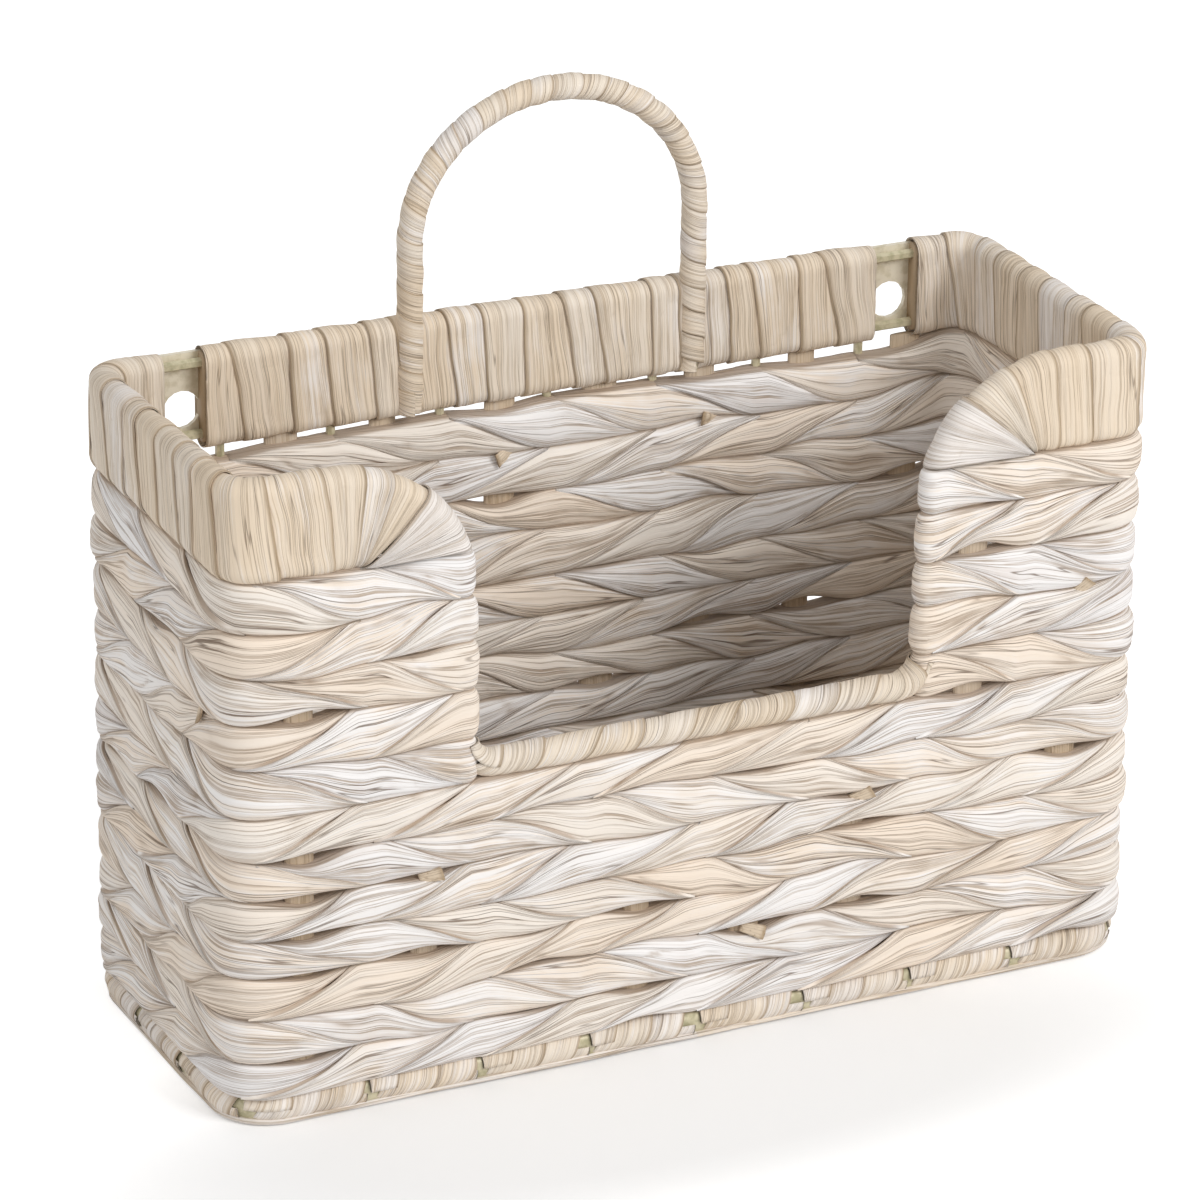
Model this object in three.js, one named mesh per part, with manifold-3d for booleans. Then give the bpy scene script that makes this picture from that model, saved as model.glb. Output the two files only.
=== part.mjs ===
// A twined magazine basket on a wire frame, with a scooped front, a wrapped rim and a hoop handle.
// Millimetres, +Z up, the wall side at +Y, origin at the bottom centre.

import * as THREE from "three";
import { mergeVertices } from "three/addons/utils/BufferGeometryUtils.js";
import Module from "manifold-3d";

const wasm = await Module();
wasm.setup();

// Driving sizes of the frame, measured between the centres of its wires
const frameWidth = 370;
const frameDepth = 132;
const cornerRadius = 18;
const rimTop = 254;
const handleTop = 344;
const clearance = 0.3;

// Wires
const stakeWire = 3.6;
const rimWire = 4;
const bandWire = 4;
const baseWire = 5;
const handleWire = 5;
const stakeBend = 5;

// Stakes: spaces between them along a long wall and along a short wall
const longSpaces = 8;
const shortSpaces = 3;

// Twined rows
const fullRows = 7;
const openRows = 5;
const strandThickness = 4.6;
const stakeRoom = 1.4;
const outerFaceShare = 0.66;
const turningReachShare = 0.85;

// The wrapped band under the rim
const bandHeight = 38;
const bandThickness = 10;
const bandChamfer = 3;
const bandSkin = 2;

// The scooped front: its clear width, the height of its low edge and its rounded shoulders
const scoopWidth = 180;
const scoopEdge = 134;
const shoulderRadius = 60;
const scoopFillet = 12;
const scoopWrap = 10.5;

// Base wrap
const baseWrap = 12;
const baseWrapGap = 6;

// Hanging plates
const plateInset = 35;
const plateWidth = 20;
const plateThickness = 2;
const plateHeight = 35;
const screwHole = 15;
const holeBelowRim = 24;

// Handle
const handleSpan = 120;
const handleWrap = 10.3;
const handleShoulder = 285;

// Floor weave
const floorStrandThickness = 4.4;
const bayStrandCount = 2;

// Smoothness
const cornerSteps = 4;
const shoulderSteps = 6;
const filletSteps = 2;
const archSteps = 14;
const bendSteps = 2;
const wireSides = 6;
const wrapSides = 8;
const mergeShare = 0.001;

// Derived heights and places
const halfWidth = frameWidth / 2;
const halfDepth = frameDepth / 2;
const straightX = halfWidth - cornerRadius;
const straightY = halfDepth - cornerRadius;
const bandBottom = rimTop - bandHeight;
const rimWireHeight = rimTop - scoopWrap / 2;
const bandWireHeight = bandBottom + bandSkin + clearance + bandWire / 2;
const scoopWireX = scoopWidth / 2 + scoopWrap / 2;
const scoopWireHeight = scoopEdge - scoopWrap / 2;
const wireShoulder = shoulderRadius - scoopWrap / 2;
const shoulderX = scoopWireX + wireShoulder;
const shoulderHeight = rimWireHeight - wireShoulder;
const ribHeight = baseWrap + clearance + stakeWire / 2;
const firstRowBottom = ribHeight + stakeWire / 2 + clearance;
const openRowsBottom = scoopEdge - scoopWrap - clearance;
const openRowsTop = bandBottom - clearance;
const strandInner = stakeWire / 2 + clearance;
const rowHalfThickness = strandInner + stakeRoom + strandThickness;
const plateSpacing = frameWidth - 2 * plateInset;
const handleWireY = halfDepth - rimWire / 2 - clearance - handleWire / 2;

// Materials
function material(color, roughness, metalness) {
  return new THREE.MeshStandardMaterial({ color, roughness, metalness });
}

const strandColour = 0xd9c6aa;
const innerStrandColour = 0xcdb797;
const wrapColour = 0xe3d7c4;
const wireColour = 0x8c8462;

// Route round the walls. The distance runs from the middle of the front, to the right.
const quarterArc = (Math.PI / 2) * cornerRadius;
const wallLength = 4 * (straightX + straightY + quarterArc);

function wallPoint(distance) {
  const s = ((distance % wallLength) + wallLength) % wallLength;
  const legs = [
    { length: straightX, at: [0, -halfDepth], turn: 0 },
    { length: quarterArc, centre: [straightX, -straightY], turn: 0 },
    { length: 2 * straightY, at: [halfWidth, -straightY], turn: 1 },
    { length: quarterArc, centre: [straightX, straightY], turn: 1 },
    { length: 2 * straightX, at: [straightX, halfDepth], turn: 2 },
    { length: quarterArc, centre: [-straightX, straightY], turn: 2 },
    { length: 2 * straightY, at: [-halfWidth, straightY], turn: 3 },
    { length: quarterArc, centre: [-straightX, -straightY], turn: 3 },
    { length: straightX, at: [-straightX, -halfDepth], turn: 4 },
  ];
  let left = s;
  let leg = legs[0];
  for (leg of legs) {
    if (left <= leg.length) break;
    left -= leg.length;
  }
  const heading = (leg.turn * Math.PI) / 2 + (leg.centre ? left / cornerRadius : 0);
  const along = new THREE.Vector3(Math.cos(heading), Math.sin(heading), 0);
  const out = new THREE.Vector3(Math.sin(heading), -Math.cos(heading), 0);
  const at = leg.centre
    ? new THREE.Vector3(leg.centre[0], leg.centre[1], 0).addScaledVector(out, cornerRadius)
    : new THREE.Vector3(leg.at[0], leg.at[1], 0).addScaledVector(along, left);
  return { at, out };
}

// Distances along the walls
const cornerMiddle = straightX + quarterArc / 2;
const longPitch = (2 * cornerMiddle) / longSpaces;
const shortPitch = (2 * straightY + quarterArc) / shortSpaces;
const stakeCount = 2 * (longSpaces + shortSpaces);

function stakeDistance(index) {
  const wall = ((index % stakeCount) + stakeCount) % stakeCount;
  const laps = Math.round((index - wall) / stakeCount) * wallLength;
  const halfLong = longSpaces / 2;
  const legs = [
    [halfLong, longPitch],
    [shortSpaces, shortPitch],
    [longSpaces, longPitch],
    [shortSpaces, shortPitch],
    [halfLong, longPitch],
  ];
  let left = wall;
  let distance = 0;
  for (const [spaces, pitch] of legs) {
    const part = Math.min(left, spaces);
    distance += part * pitch;
    left -= part;
  }
  return distance + laps;
}

// Closed solids from cross-sections, with an optional bore, joined into a ring or capped at both ends
function addWalls(triangles, loops, ring, flip) {
  const count = ring ? loops.length : loops.length - 1;
  for (let i = 0; i < count; i += 1) {
    const a = loops[i];
    const b = loops[(i + 1) % loops.length];
    for (let j = 0; j < a.length; j += 1) {
      const k = (j + 1) % a.length;
      const quad = [a[j], a[k], b[k], a[j], b[k], b[j]];
      triangles.push(...(flip ? quad.reverse() : quad));
    }
  }
}

function addCap(triangles, flat, outer, bore, flip) {
  const faces = THREE.ShapeUtils.triangulateShape(flat.outer, bore ? [flat.bore] : []);
  const points = bore ? [...outer, ...bore] : outer;
  for (const face of faces) {
    const corners = face.map((index) => points[index]);
    triangles.push(...(flip ? corners.reverse() : corners));
  }
}

function volumeOf(triangles) {
  let sum = 0;
  for (let i = 0; i < triangles.length; i += 3) {
    sum += triangles[i].dot(triangles[i + 1].clone().cross(triangles[i + 2]));
  }
  return sum;
}

function geometryOf(triangles) {
  const ordered = volumeOf(triangles) < 0 ? triangles.slice().reverse() : triangles;
  const geometry = new THREE.BufferGeometry().setFromPoints(ordered);
  return mergeVertices(geometry, clearance * mergeShare);
}

function anticlockwise(profile) {
  return THREE.ShapeUtils.isClockWise(profile) ? profile.slice().reverse() : profile;
}

// A route is a list of { at, out }: a point and the first direction of the section there.
// A section is a list of [u, v], u along out and v square to both, upwards on a wall.
function sweep(route, sectionAt, { ring = false, boreAt = null } = {}) {
  const outerLoops = [];
  const boreLoops = [];
  const flats = [];
  route.forEach((stop, i) => {
    const before = ring ? route[(i + route.length - 1) % route.length] : route[Math.max(i - 1, 0)];
    const after = ring ? route[(i + 1) % route.length] : route[Math.min(i + 1, route.length - 1)];
    const along = stop.along ?? after.at.clone().sub(before.at).normalize();
    const side = stop.out.clone().cross(along).normalize();
    const place = ([u, v]) => stop.at.clone().addScaledVector(stop.out, u).addScaledVector(side, v);
    const outer = anticlockwise(sectionAt(i).map(([u, v]) => new THREE.Vector2(u, v)));
    const bore = boreAt ? anticlockwise(boreAt(i).map(([u, v]) => new THREE.Vector2(u, v))) : null;
    flats.push({ outer, bore });
    outerLoops.push(outer.map((point) => place(point.toArray())));
    if (bore) boreLoops.push(bore.map((point) => place(point.toArray())));
  });
  const triangles = [];
  addWalls(triangles, outerLoops, ring, false);
  if (boreAt) addWalls(triangles, boreLoops, ring, true);
  if (!ring) {
    const last = route.length - 1;
    addCap(triangles, flats[0], outerLoops[0], boreLoops[0], true);
    addCap(triangles, flats[last], outerLoops[last], boreLoops[last], false);
  }
  return geometryOf(triangles);
}

function polygon(radius, sides) {
  const apothem = Math.cos(Math.PI / sides);
  const points = [];
  for (let i = 0; i < sides; i += 1) {
    const angle = ((i + 1 / 2) / sides) * 2 * Math.PI;
    points.push([(Math.cos(angle) * radius) / apothem, (Math.sin(angle) * radius) / apothem]);
  }
  return points;
}

function innerPolygon(radius, sides) {
  return polygon(radius * Math.cos(Math.PI / sides), sides);
}

function tube(route, diameter, options = {}) {
  return sweep(route, () => innerPolygon(diameter / 2, wireSides), options);
}

function sleeve(route, diameter, wire, options = {}) {
  const bore = polygon(wire / 2 + clearance, wireSides);
  const wall = polygon(diameter / 2, wrapSides);
  return sweep(route, () => wall, { ...options, boreAt: () => bore });
}

// Joining and cutting
function solid(geometry) {
  const vertProperties = geometry.attributes.position.array;
  const triVerts = new Uint32Array(geometry.index.array);
  return new wasm.Manifold(new wasm.Mesh({ numProp: 3, vertProperties, triVerts }));
}

function cut(geometry, tools) {
  let body = solid(geometry);
  for (const tool of tools) {
    body = body.subtract(solid(tool));
  }
  const mesh = body.getMesh();
  const result = new THREE.BufferGeometry();
  result.setAttribute("position", new THREE.BufferAttribute(mesh.vertProperties, 3));
  result.setIndex(new THREE.BufferAttribute(mesh.triVerts, 1));
  return result;
}

const basket = new THREE.Group();

function add(name, geometry, look) {
  const mesh = new THREE.Mesh(geometry, look);
  mesh.name = name;
  basket.add(mesh);
  return mesh;
}

// Wires that run round the walls at one height
function cornerStops(from, to) {
  const stops = [];
  const marks = [];
  const lines = [
    straightX,
    straightX + quarterArc,
    straightX + quarterArc + 2 * straightY,
    straightX + 2 * quarterArc + 2 * straightY,
  ];
  const half = wallLength / 2;
  const starts = [lines[0], lines[2], half + (half - lines[3]), half + (half - lines[1])];
  for (const start of starts) {
    for (let i = 0; i <= cornerSteps; i += 1) {
      marks.push(start + (i / cornerSteps) * quarterArc);
    }
  }
  for (const mark of marks) {
    if (mark > from && mark < to) stops.push(mark);
  }
  return stops;
}

function wallRoute(distances, height) {
  return distances.map((distance) => {
    const { at, out } = wallPoint(distance);
    at.z = height;
    return { at, out };
  });
}

function openWallRoute(from, to, height) {
  return wallRoute([from, ...cornerStops(from, to), to], height);
}

// The rim wire's way down one shoulder, along the low front and up the other shoulder
function frontStop(x, z) {
  return { at: new THREE.Vector3(x, -halfDepth, z), out: new THREE.Vector3(0, -1, 0) };
}

function scoopHalf(fromAngle) {
  const stops = [];
  for (let i = 0; i <= shoulderSteps; i += 1) {
    const angle = fromAngle * (1 - i / shoulderSteps);
    const x = -shoulderX + wireShoulder * Math.cos(angle);
    stops.push(frontStop(x, shoulderHeight + wireShoulder * Math.sin(angle)));
  }
  for (let i = 0; i <= filletSteps; i += 1) {
    const angle = ((i / filletSteps) * Math.PI) / 2;
    const x = -scoopWireX + scoopFillet * (1 - Math.cos(angle));
    stops.push(frontStop(x, scoopWireHeight + scoopFillet * (1 - Math.sin(angle))));
  }
  return stops;
}

function scoopRoute(fromAngle) {
  const left = scoopHalf(fromAngle);
  const right = left.map((stop) => frontStop(-stop.at.x, stop.at.z)).reverse();
  return [...left, ...right];
}

function rimRoute() {
  const scoop = scoopRoute(Math.PI / 2);
  const walls = wallRoute(cornerStops(0, wallLength), rimWireHeight);
  return [...scoop, ...walls];
}

// Half the clear front between the row ends at a height
function scoopClearX(height) {
  const reach = wireShoulder - scoopWrap / 2 - clearance;
  const above = Math.min(Math.max(height - shoulderHeight, 0), reach);
  return shoulderX - Math.sqrt(reach ** 2 - above ** 2);
}

// Frame wires
const metal = () => material(wireColour, 0.5, 0.6);

function frameWires() {
  add("rim_wire", tube(rimRoute(), rimWire, { ring: true }), metal());
  const end = scoopClearX(openRowsTop) + clearance;
  const band = openWallRoute(end, wallLength - end, bandWireHeight);
  add("lower_band_wire", tube(band, bandWire), metal());
  const base = wallRoute(cornerStops(0, wallLength), baseWrap / 2);
  add("base_wire", tube(base, baseWire, { ring: true }), metal());
}

// Stakes that run down one wall, across the floor and up the opposite wall
function bentStake(placeAt, out, half, floorHeight, tops) {
  const stops = [];
  const bendFloor = ribHeight + stakeBend;
  stops.push([-half, tops[0]]);
  for (let i = 0; i <= bendSteps; i += 1) {
    const angle = ((i / bendSteps) * Math.PI) / 2;
    const y = -half + stakeBend * (1 - Math.cos(angle));
    stops.push([y, bendFloor - stakeBend * Math.sin(angle)]);
  }
  const jog = half - stakeBend - baseWrap / 2 - clearance;
  if (floorHeight < ribHeight) stops.push([-jog, floorHeight]);
  const mirrored = stops.map(([y, z]) => [-y, z]).reverse();
  mirrored[mirrored.length - 1] = [half, tops[1]];
  const route = [...stops, ...mirrored].map(([y, z]) => ({ at: placeAt(y, z), out }));
  return tube(route, stakeWire);
}

function stakeTop(x) {
  const inScoop = Math.abs(x) < scoopWidth / 2 + scoopWrap;
  return inScoop ? openRowsBottom : openRowsTop;
}

function stakes() {
  const crossings = longSpaces - 1;
  for (let i = 0; i < crossings; i += 1) {
    const x = (i - (crossings - 1) / 2) * longPitch;
    const placeAt = (y, z) => new THREE.Vector3(x, y, z);
    const out = new THREE.Vector3(1, 0, 0);
    const geometry = bentStake(placeAt, out, halfDepth, ribHeight, [stakeTop(x), openRowsTop]);
    add(`cross_stake_${i + 1}`, geometry, metal());
  }
  const lengthwise = shortSpaces - 1;
  for (let i = 0; i < lengthwise; i += 1) {
    const y = (i - (lengthwise - 1) / 2) * shortPitch;
    const placeAt = (x, z) => new THREE.Vector3(x, y, z);
    const out = new THREE.Vector3(0, 1, 0);
    const floorHeight = ribHeight - stakeWire - clearance;
    const geometry = bentStake(placeAt, out, halfWidth, floorHeight, [openRowsTop, openRowsTop]);
    add(`long_stake_${i + 1}`, geometry, metal());
  }
  const corners = [longSpaces / 2, longSpaces / 2 + shortSpaces];
  for (const corner of [...corners, ...corners.map((index) => index + stakeCount / 2)]) {
    const { at, out } = wallPoint(stakeDistance(corner));
    const low = at.clone().setZ(baseWrap + clearance);
    const high = at.clone().setZ(openRowsTop);
    const side = `${at.y < 0 ? "front" : "back"}_${at.x < 0 ? "left" : "right"}`;
    add(`corner_stake_${side}`, tube([{ at: low, out }, { at: high, out }], stakeWire), metal());
  }
}

// One strand of a twined row. It stands full height before or behind a stake. Between two stakes it is
// half height, over or under its partner, and changes sides between the two turn shares of the space.
// Its face can hang lower outside the stakes, by the form's drop.
const turnShares = [0, 1 / 3, 2 / 3, 1];

function strandCorners(whole, turn, { half, lean, halfHeight, drop }) {
  const ahead = (whole + half) % 2 === 0 ? 1 : -1;
  const rise = ahead * lean;
  const side = turn < 2 ? ahead : -ahead;
  const atStake = turn === 0 || turn === turnShares.length - 1;
  const inner = atStake ? strandInner + stakeRoom : clearance / 2;
  const outer = atStake ? rowHalfThickness : rowHalfThickness * turningReachShare;
  const bottom = side > 0 ? -halfHeight - drop : -halfHeight;
  const low = atStake || rise < 0 ? bottom : clearance / 2;
  const high = atStake || rise > 0 ? halfHeight : -clearance / 2;
  const middle = (low + high) / 2;
  const faceLow = middle + (low - middle) * outerFaceShare;
  const faceHigh = middle + (high - middle) * outerFaceShare;
  if (side > 0) {
    return [
      [inner, low],
      [outer, faceLow],
      [outer, faceHigh],
      [inner, high],
    ];
  }
  return [
    [-outer, faceLow],
    [-inner, low],
    [-inner, high],
    [-outer, faceHigh],
  ];
}

function strandSection(stake, form) {
  const whole = Math.floor(stake);
  const share = stake - whole;
  let turn = 0;
  while (share > turnShares[turn + 1]) turn += 1;
  const part = (share - turnShares[turn]) / (turnShares[turn + 1] - turnShares[turn]);
  const from = strandCorners(whole, turn, form);
  const to = strandCorners(whole, turn + 1, form);
  return from.map(([u, v], i) => [u + part * (to[i][0] - u), v + part * (to[i][1] - v)]);
}

function strand(row, half, bottom, height, openFront) {
  const lean = row % 2 === 0 ? 1 : -1;
  const drop = row === 0 ? bottom - baseWrap - clearance : 0;
  const form = { half, lean, halfHeight: (height - clearance) / 2, drop };
  const middle = bottom + height / 2;
  const marks = [];
  const low = openFront ? scoopClearX(bottom + height) : 0;
  for (let whole = 0; whole < stakeCount; whole += 1) {
    const start = stakeDistance(whole);
    const space = stakeDistance(whole + 1) - start;
    for (const share of turnShares.slice(0, -1)) {
      marks.push({ stake: whole + share, distance: start + share * space });
    }
  }
  const inside = marks.filter(({ distance }) => distance > low && distance < wallLength - low);
  const kept = openFront ? [endMark(low), ...inside, endMark(wallLength - low)] : marks;
  const route = wallRoute(kept.map(({ distance }) => distance), middle);
  const section = (i) => strandSection(kept[i].stake, form);
  if (openFront) {
    route[0].along = new THREE.Vector3(1, 0, 0);
    route[route.length - 1].along = new THREE.Vector3(1, 0, 0);
  }
  return sweep(route, section, { ring: !openFront });
}

// The place of a row's end, as a distance and as a count of stakes passed
function endMark(distance) {
  const fromEnd = Math.min(distance, wallLength - distance);
  const passed = fromEnd / longPitch;
  return { distance, stake: distance === fromEnd ? passed : stakeCount - passed };
}

function twinedRows() {
  const fullHeight = (openRowsBottom - firstRowBottom) / fullRows;
  const openHeight = (openRowsTop - openRowsBottom) / openRows;
  for (let row = 0; row < fullRows + openRows; row += 1) {
    const openFront = row >= fullRows;
    const height = openFront ? openHeight : fullHeight;
    const bottom = openFront
      ? openRowsBottom + (row - fullRows) * openHeight
      : firstRowBottom + row * fullHeight;
    const label = String(row + 1).padStart(2, "0");
    const first = strand(row, 0, bottom, height, openFront);
    const second = strand(row, 1, bottom, height, openFront);
    add(`row_${label}_strand_a`, first, material(strandColour, 0.85, 0));
    add(`row_${label}_strand_b`, second, material(innerStrandColour, 0.85, 0));
  }
}

// The wrapped band: a flat sleeve over the rim wire and the lower band wire
function bandSection(top) {
  const half = bandThickness / 2;
  const low = bandBottom - rimWireHeight;
  const high = top - rimWireHeight;
  return [
    [half, low + bandChamfer],
    [half, high - bandChamfer],
    [half - bandChamfer, high],
    [bandChamfer - half, high],
    [-half, high - bandChamfer],
    [-half, low + bandChamfer],
    [bandChamfer - half, low],
    [half - bandChamfer, low],
  ];
}

function bandBore(top) {
  const half = Math.max(rimWire, bandWire) / 2 + clearance;
  const low = bandBottom + bandSkin - rimWireHeight;
  const high = top - bandSkin - rimWireHeight;
  return [
    [half, low],
    [half, high],
    [-half, high],
    [-half, low],
  ];
}

// The band's top follows the shoulder where the front steps down
function bandTop(distance) {
  const fromEnd = Math.min(distance, wallLength - distance);
  const over = Math.min(Math.max(shoulderX - fromEnd, 0), shoulderRadius);
  return shoulderHeight + Math.sqrt(shoulderRadius ** 2 - over ** 2);
}

function bandPart(distances) {
  const route = wallRoute(distances, rimWireHeight);
  const tops = distances.map(bandTop);
  return sweep(route, (i) => bandSection(tops[i]), { boreAt: (i) => bandBore(tops[i]) });
}

function handleLegCutters() {
  const radius = handleWrap / 2 + clearance;
  return [-1, 1].map((side) => {
    const stop = (z) => ({
      at: new THREE.Vector3((side * handleSpan) / 2, handleWireY, z),
      out: new THREE.Vector3(1, 0, 0),
    });
    const ends = [stop(bandBottom - clearance), stop(rimTop + clearance)];
    return sweep(ends, () => polygon(radius, wrapSides));
  });
}

function rimWraps() {
  const end = scoopClearX(openRowsTop);
  const middle = wallLength / 2;
  const plateEdge = plateSpacing / 2 + plateWidth / 2 + clearance;
  const plateInner = plateSpacing / 2 - plateWidth / 2 - clearance;
  const shoulderMarks = [];
  for (let i = 0; i < shoulderSteps; i += 1) {
    shoulderMarks.push(end + (i / shoulderSteps) * (shoulderX - end));
  }
  const right = [
    ...shoulderMarks,
    shoulderX,
    ...cornerStops(shoulderX, middle - plateEdge),
    middle - plateEdge,
  ];
  const left = right.map((distance) => wallLength - distance).reverse();
  add("rim_wrap_right", bandPart(right), material(wrapColour, 0.85, 0));
  add("rim_wrap_left", bandPart(left), material(wrapColour, 0.85, 0));
  const back = cut(bandPart([middle - plateInner, middle + plateInner]), handleLegCutters());
  add("rim_wrap_back", back, material(wrapColour, 0.85, 0));
}

// Low front wrap and base wrap
function edgeWraps() {
  const start = scoopClearX(openRowsTop);
  const angle = Math.acos((shoulderX - start + scoopWrap / 2 - clearance) / wireShoulder);
  const scoop = sleeve(scoopRoute(angle), scoopWrap, rimWire);
  add("scoop_wrap", scoop, material(wrapColour, 0.85, 0));
  const middle = wallLength / 2;
  const distances = [...cornerStops(0, wallLength)];
  const ahead = distances.filter((distance) => distance > middle);
  const behind = distances.filter((distance) => distance < middle);
  const from = middle + baseWrapGap / 2;
  const to = middle - baseWrapGap / 2 + wallLength;
  const later = behind.map((distance) => distance + wallLength);
  const route = wallRoute([from, ...ahead, ...later, to], baseWrap / 2);
  add("base_wrap", sleeve(route, baseWrap, baseWire), material(wrapColour, 0.85, 0));
}

// Hanging plates on the wall side of the two band wires
function hangingPlates() {
  const holeHeight = rimTop - holeBelowRim;
  const middle = bandBottom + bandHeight / 2;
  for (const side of [-1, 1]) {
    const shape = new THREE.Shape();
    const halfPlate = plateWidth / 2;
    shape.moveTo(-halfPlate, -plateHeight / 2);
    shape.lineTo(halfPlate, -plateHeight / 2);
    shape.lineTo(halfPlate, plateHeight / 2);
    shape.lineTo(-halfPlate, plateHeight / 2);
    shape.closePath();
    const hole = new THREE.Path();
    hole.absarc(0, holeHeight - middle, screwHole / 2, 0, 2 * Math.PI, true);
    shape.holes.push(hole);
    const options = { depth: plateThickness, bevelEnabled: false, curveSegments: wrapSides };
    const geometry = new THREE.ExtrudeGeometry(shape, options);
    const mesh = add(`hanging_plate_${side < 0 ? "left" : "right"}`, geometry, metal());
    mesh.rotation.x = Math.PI / 2;
    const back = halfDepth + Math.max(rimWire, bandWire) / 2 + clearance + plateThickness;
    mesh.position.set((side * plateSpacing) / 2, back, middle);
  }
}

// Handle hoop
function handleRoute() {
  const out = new THREE.Vector3(0, -1, 0);
  const half = handleSpan / 2;
  const rise = handleTop - handleWrap / 2 - handleShoulder;
  const stop = (x, z) => ({ at: new THREE.Vector3(x, handleWireY, z), out });
  const stops = [stop(half, bandBottom + clearance)];
  for (let i = 0; i <= archSteps; i += 1) {
    const angle = (i / archSteps) * Math.PI;
    stops.push(stop(half * Math.cos(angle), handleShoulder + rise * Math.sin(angle)));
  }
  stops.push(stop(-half, bandBottom + clearance));
  return stops;
}

function bandWireCutter(height, wire) {
  const middle = wallLength / 2;
  const route = wallRoute([middle - handleSpan, middle + handleSpan], height);
  return sweep(route, () => polygon(wire / 2 + clearance, wireSides));
}

function handle() {
  const route = handleRoute();
  add("handle_wire", tube(route, handleWire), metal());
  const cutters = [bandWireCutter(rimWireHeight, rimWire), bandWireCutter(bandWireHeight, bandWire)];
  const wrap = cut(sleeve(route, handleWrap, handleWire), cutters);
  add("handle_wrap", wrap, material(wrapColour, 0.85, 0));
}

// Floor strands, woven over and under the wires that cross the floor
function floorStrand(index, from, to) {
  const half = floorStrandThickness / 2;
  const lift = stakeWire / 2 + clearance + half;
  const width = (to - from) / 2 - clearance / 2;
  const reach = halfWidth - rowHalfThickness - clearance;
  const crossings = longSpaces - 1;
  const stops = [[-reach, 0]];
  for (let i = 0; i < crossings; i += 1) {
    const x = (i - (crossings - 1) / 2) * longPitch;
    const up = (i + index) % 2 === 0 ? lift : -lift;
    stops.push([x - stakeWire, up], [x + stakeWire, up]);
  }
  stops.push([reach, 0]);
  const out = new THREE.Vector3(0, 1, 0);
  const route = stops.map(([x, z]) => ({
    at: new THREE.Vector3(x, (from + to) / 2, ribHeight + z),
    out,
    along: new THREE.Vector3(1, 0, 0),
  }));
  const section = [
    [width, -half],
    [width, half],
    [-width, half],
    [-width, -half],
  ];
  return sweep(route, () => section);
}

function floorWeave() {
  const wire = stakeWire / 2 + clearance;
  const lengthwise = shortSpaces - 1;
  const edges = [halfDepth - rowHalfThickness - clearance];
  for (let i = 0; i < lengthwise; i += 1) {
    const y = ((lengthwise - 1) / 2 - i) * shortPitch;
    edges.push(y + wire, y - wire);
  }
  edges.push(-edges[0]);
  let index = 0;
  for (let bay = 0; bay < edges.length; bay += 2) {
    const step = (edges[bay] - edges[bay + 1]) / bayStrandCount;
    for (let i = 0; i < bayStrandCount; i += 1) {
      const top = edges[bay] - i * step;
      const geometry = floorStrand(index, top - step, top);
      add(`floor_strand_${index + 1}`, geometry, material(innerStrandColour, 0.85, 0));
      index += 1;
    }
  }
}

frameWires();
stakes();
twinedRows();
rimWraps();
edgeWraps();
hangingPlates();
handle();
floorWeave();

export default basket;
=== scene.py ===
"""The looks of a twined magazine basket: plant-fibre strands and leaf strips dressed on its wire frame."""

import math

import bpy
import numpy as np
from mathutils import Matrix, Vector

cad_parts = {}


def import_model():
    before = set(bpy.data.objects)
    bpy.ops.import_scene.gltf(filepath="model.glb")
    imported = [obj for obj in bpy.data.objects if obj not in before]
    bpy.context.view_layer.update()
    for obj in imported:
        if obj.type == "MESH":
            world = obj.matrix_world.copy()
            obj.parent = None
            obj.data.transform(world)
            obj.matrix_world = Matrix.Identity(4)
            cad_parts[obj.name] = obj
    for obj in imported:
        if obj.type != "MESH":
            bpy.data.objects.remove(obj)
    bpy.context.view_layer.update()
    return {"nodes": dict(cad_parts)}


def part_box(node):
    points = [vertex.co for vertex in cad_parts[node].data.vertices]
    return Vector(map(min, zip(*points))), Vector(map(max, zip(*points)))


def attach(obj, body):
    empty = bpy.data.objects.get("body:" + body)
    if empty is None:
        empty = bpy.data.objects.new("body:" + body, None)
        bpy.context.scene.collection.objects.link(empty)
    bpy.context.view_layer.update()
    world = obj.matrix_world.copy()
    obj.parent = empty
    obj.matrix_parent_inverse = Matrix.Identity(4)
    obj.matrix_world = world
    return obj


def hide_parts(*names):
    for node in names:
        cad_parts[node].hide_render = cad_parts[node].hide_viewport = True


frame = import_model()

# Sizes in metres, read from the frame where a node carries them
TOUCH_GAP = 0.0003
base_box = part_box("base_wrap")
BASE_RADIUS = (base_box[1].z - base_box[0].z) / 2
HALF_WIDTH = base_box[1].x - BASE_RADIUS
HALF_DEPTH = base_box[1].y - BASE_RADIUS
CORNER = 0.018
band_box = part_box("rim_wrap_left")
RIM_TOP = band_box[1].z
BAND_BOTTOM = band_box[0].z
BAND_HEIGHT = RIM_TOP - BAND_BOTTOM
BAND_HALF = 0.0049
scoop_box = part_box("scoop_wrap")
SCOOP_RADIUS = scoop_box[1].y + HALF_DEPTH
SCOOP_WIRE_Z = scoop_box[0].z + SCOOP_RADIUS
SCOOP_HALF = 0.09
SCOOP_X = SCOOP_HALF + SCOOP_RADIUS
SCOOP_FILLET = 0.012
SHOULDER = 0.06
SHOULDER_X = SCOOP_HALF + SHOULDER
SHOULDER_Z = RIM_TOP - SHOULDER
SHOULDER_BEND = math.acos((SHOULDER - BAND_HEIGHT) / SHOULDER)
plate_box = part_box("hanging_plate_right")
PLATE_X = (plate_box[0].x + plate_box[1].x) / 2
PLATE_HALF = (plate_box[1].x - plate_box[0].x) / 2

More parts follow.
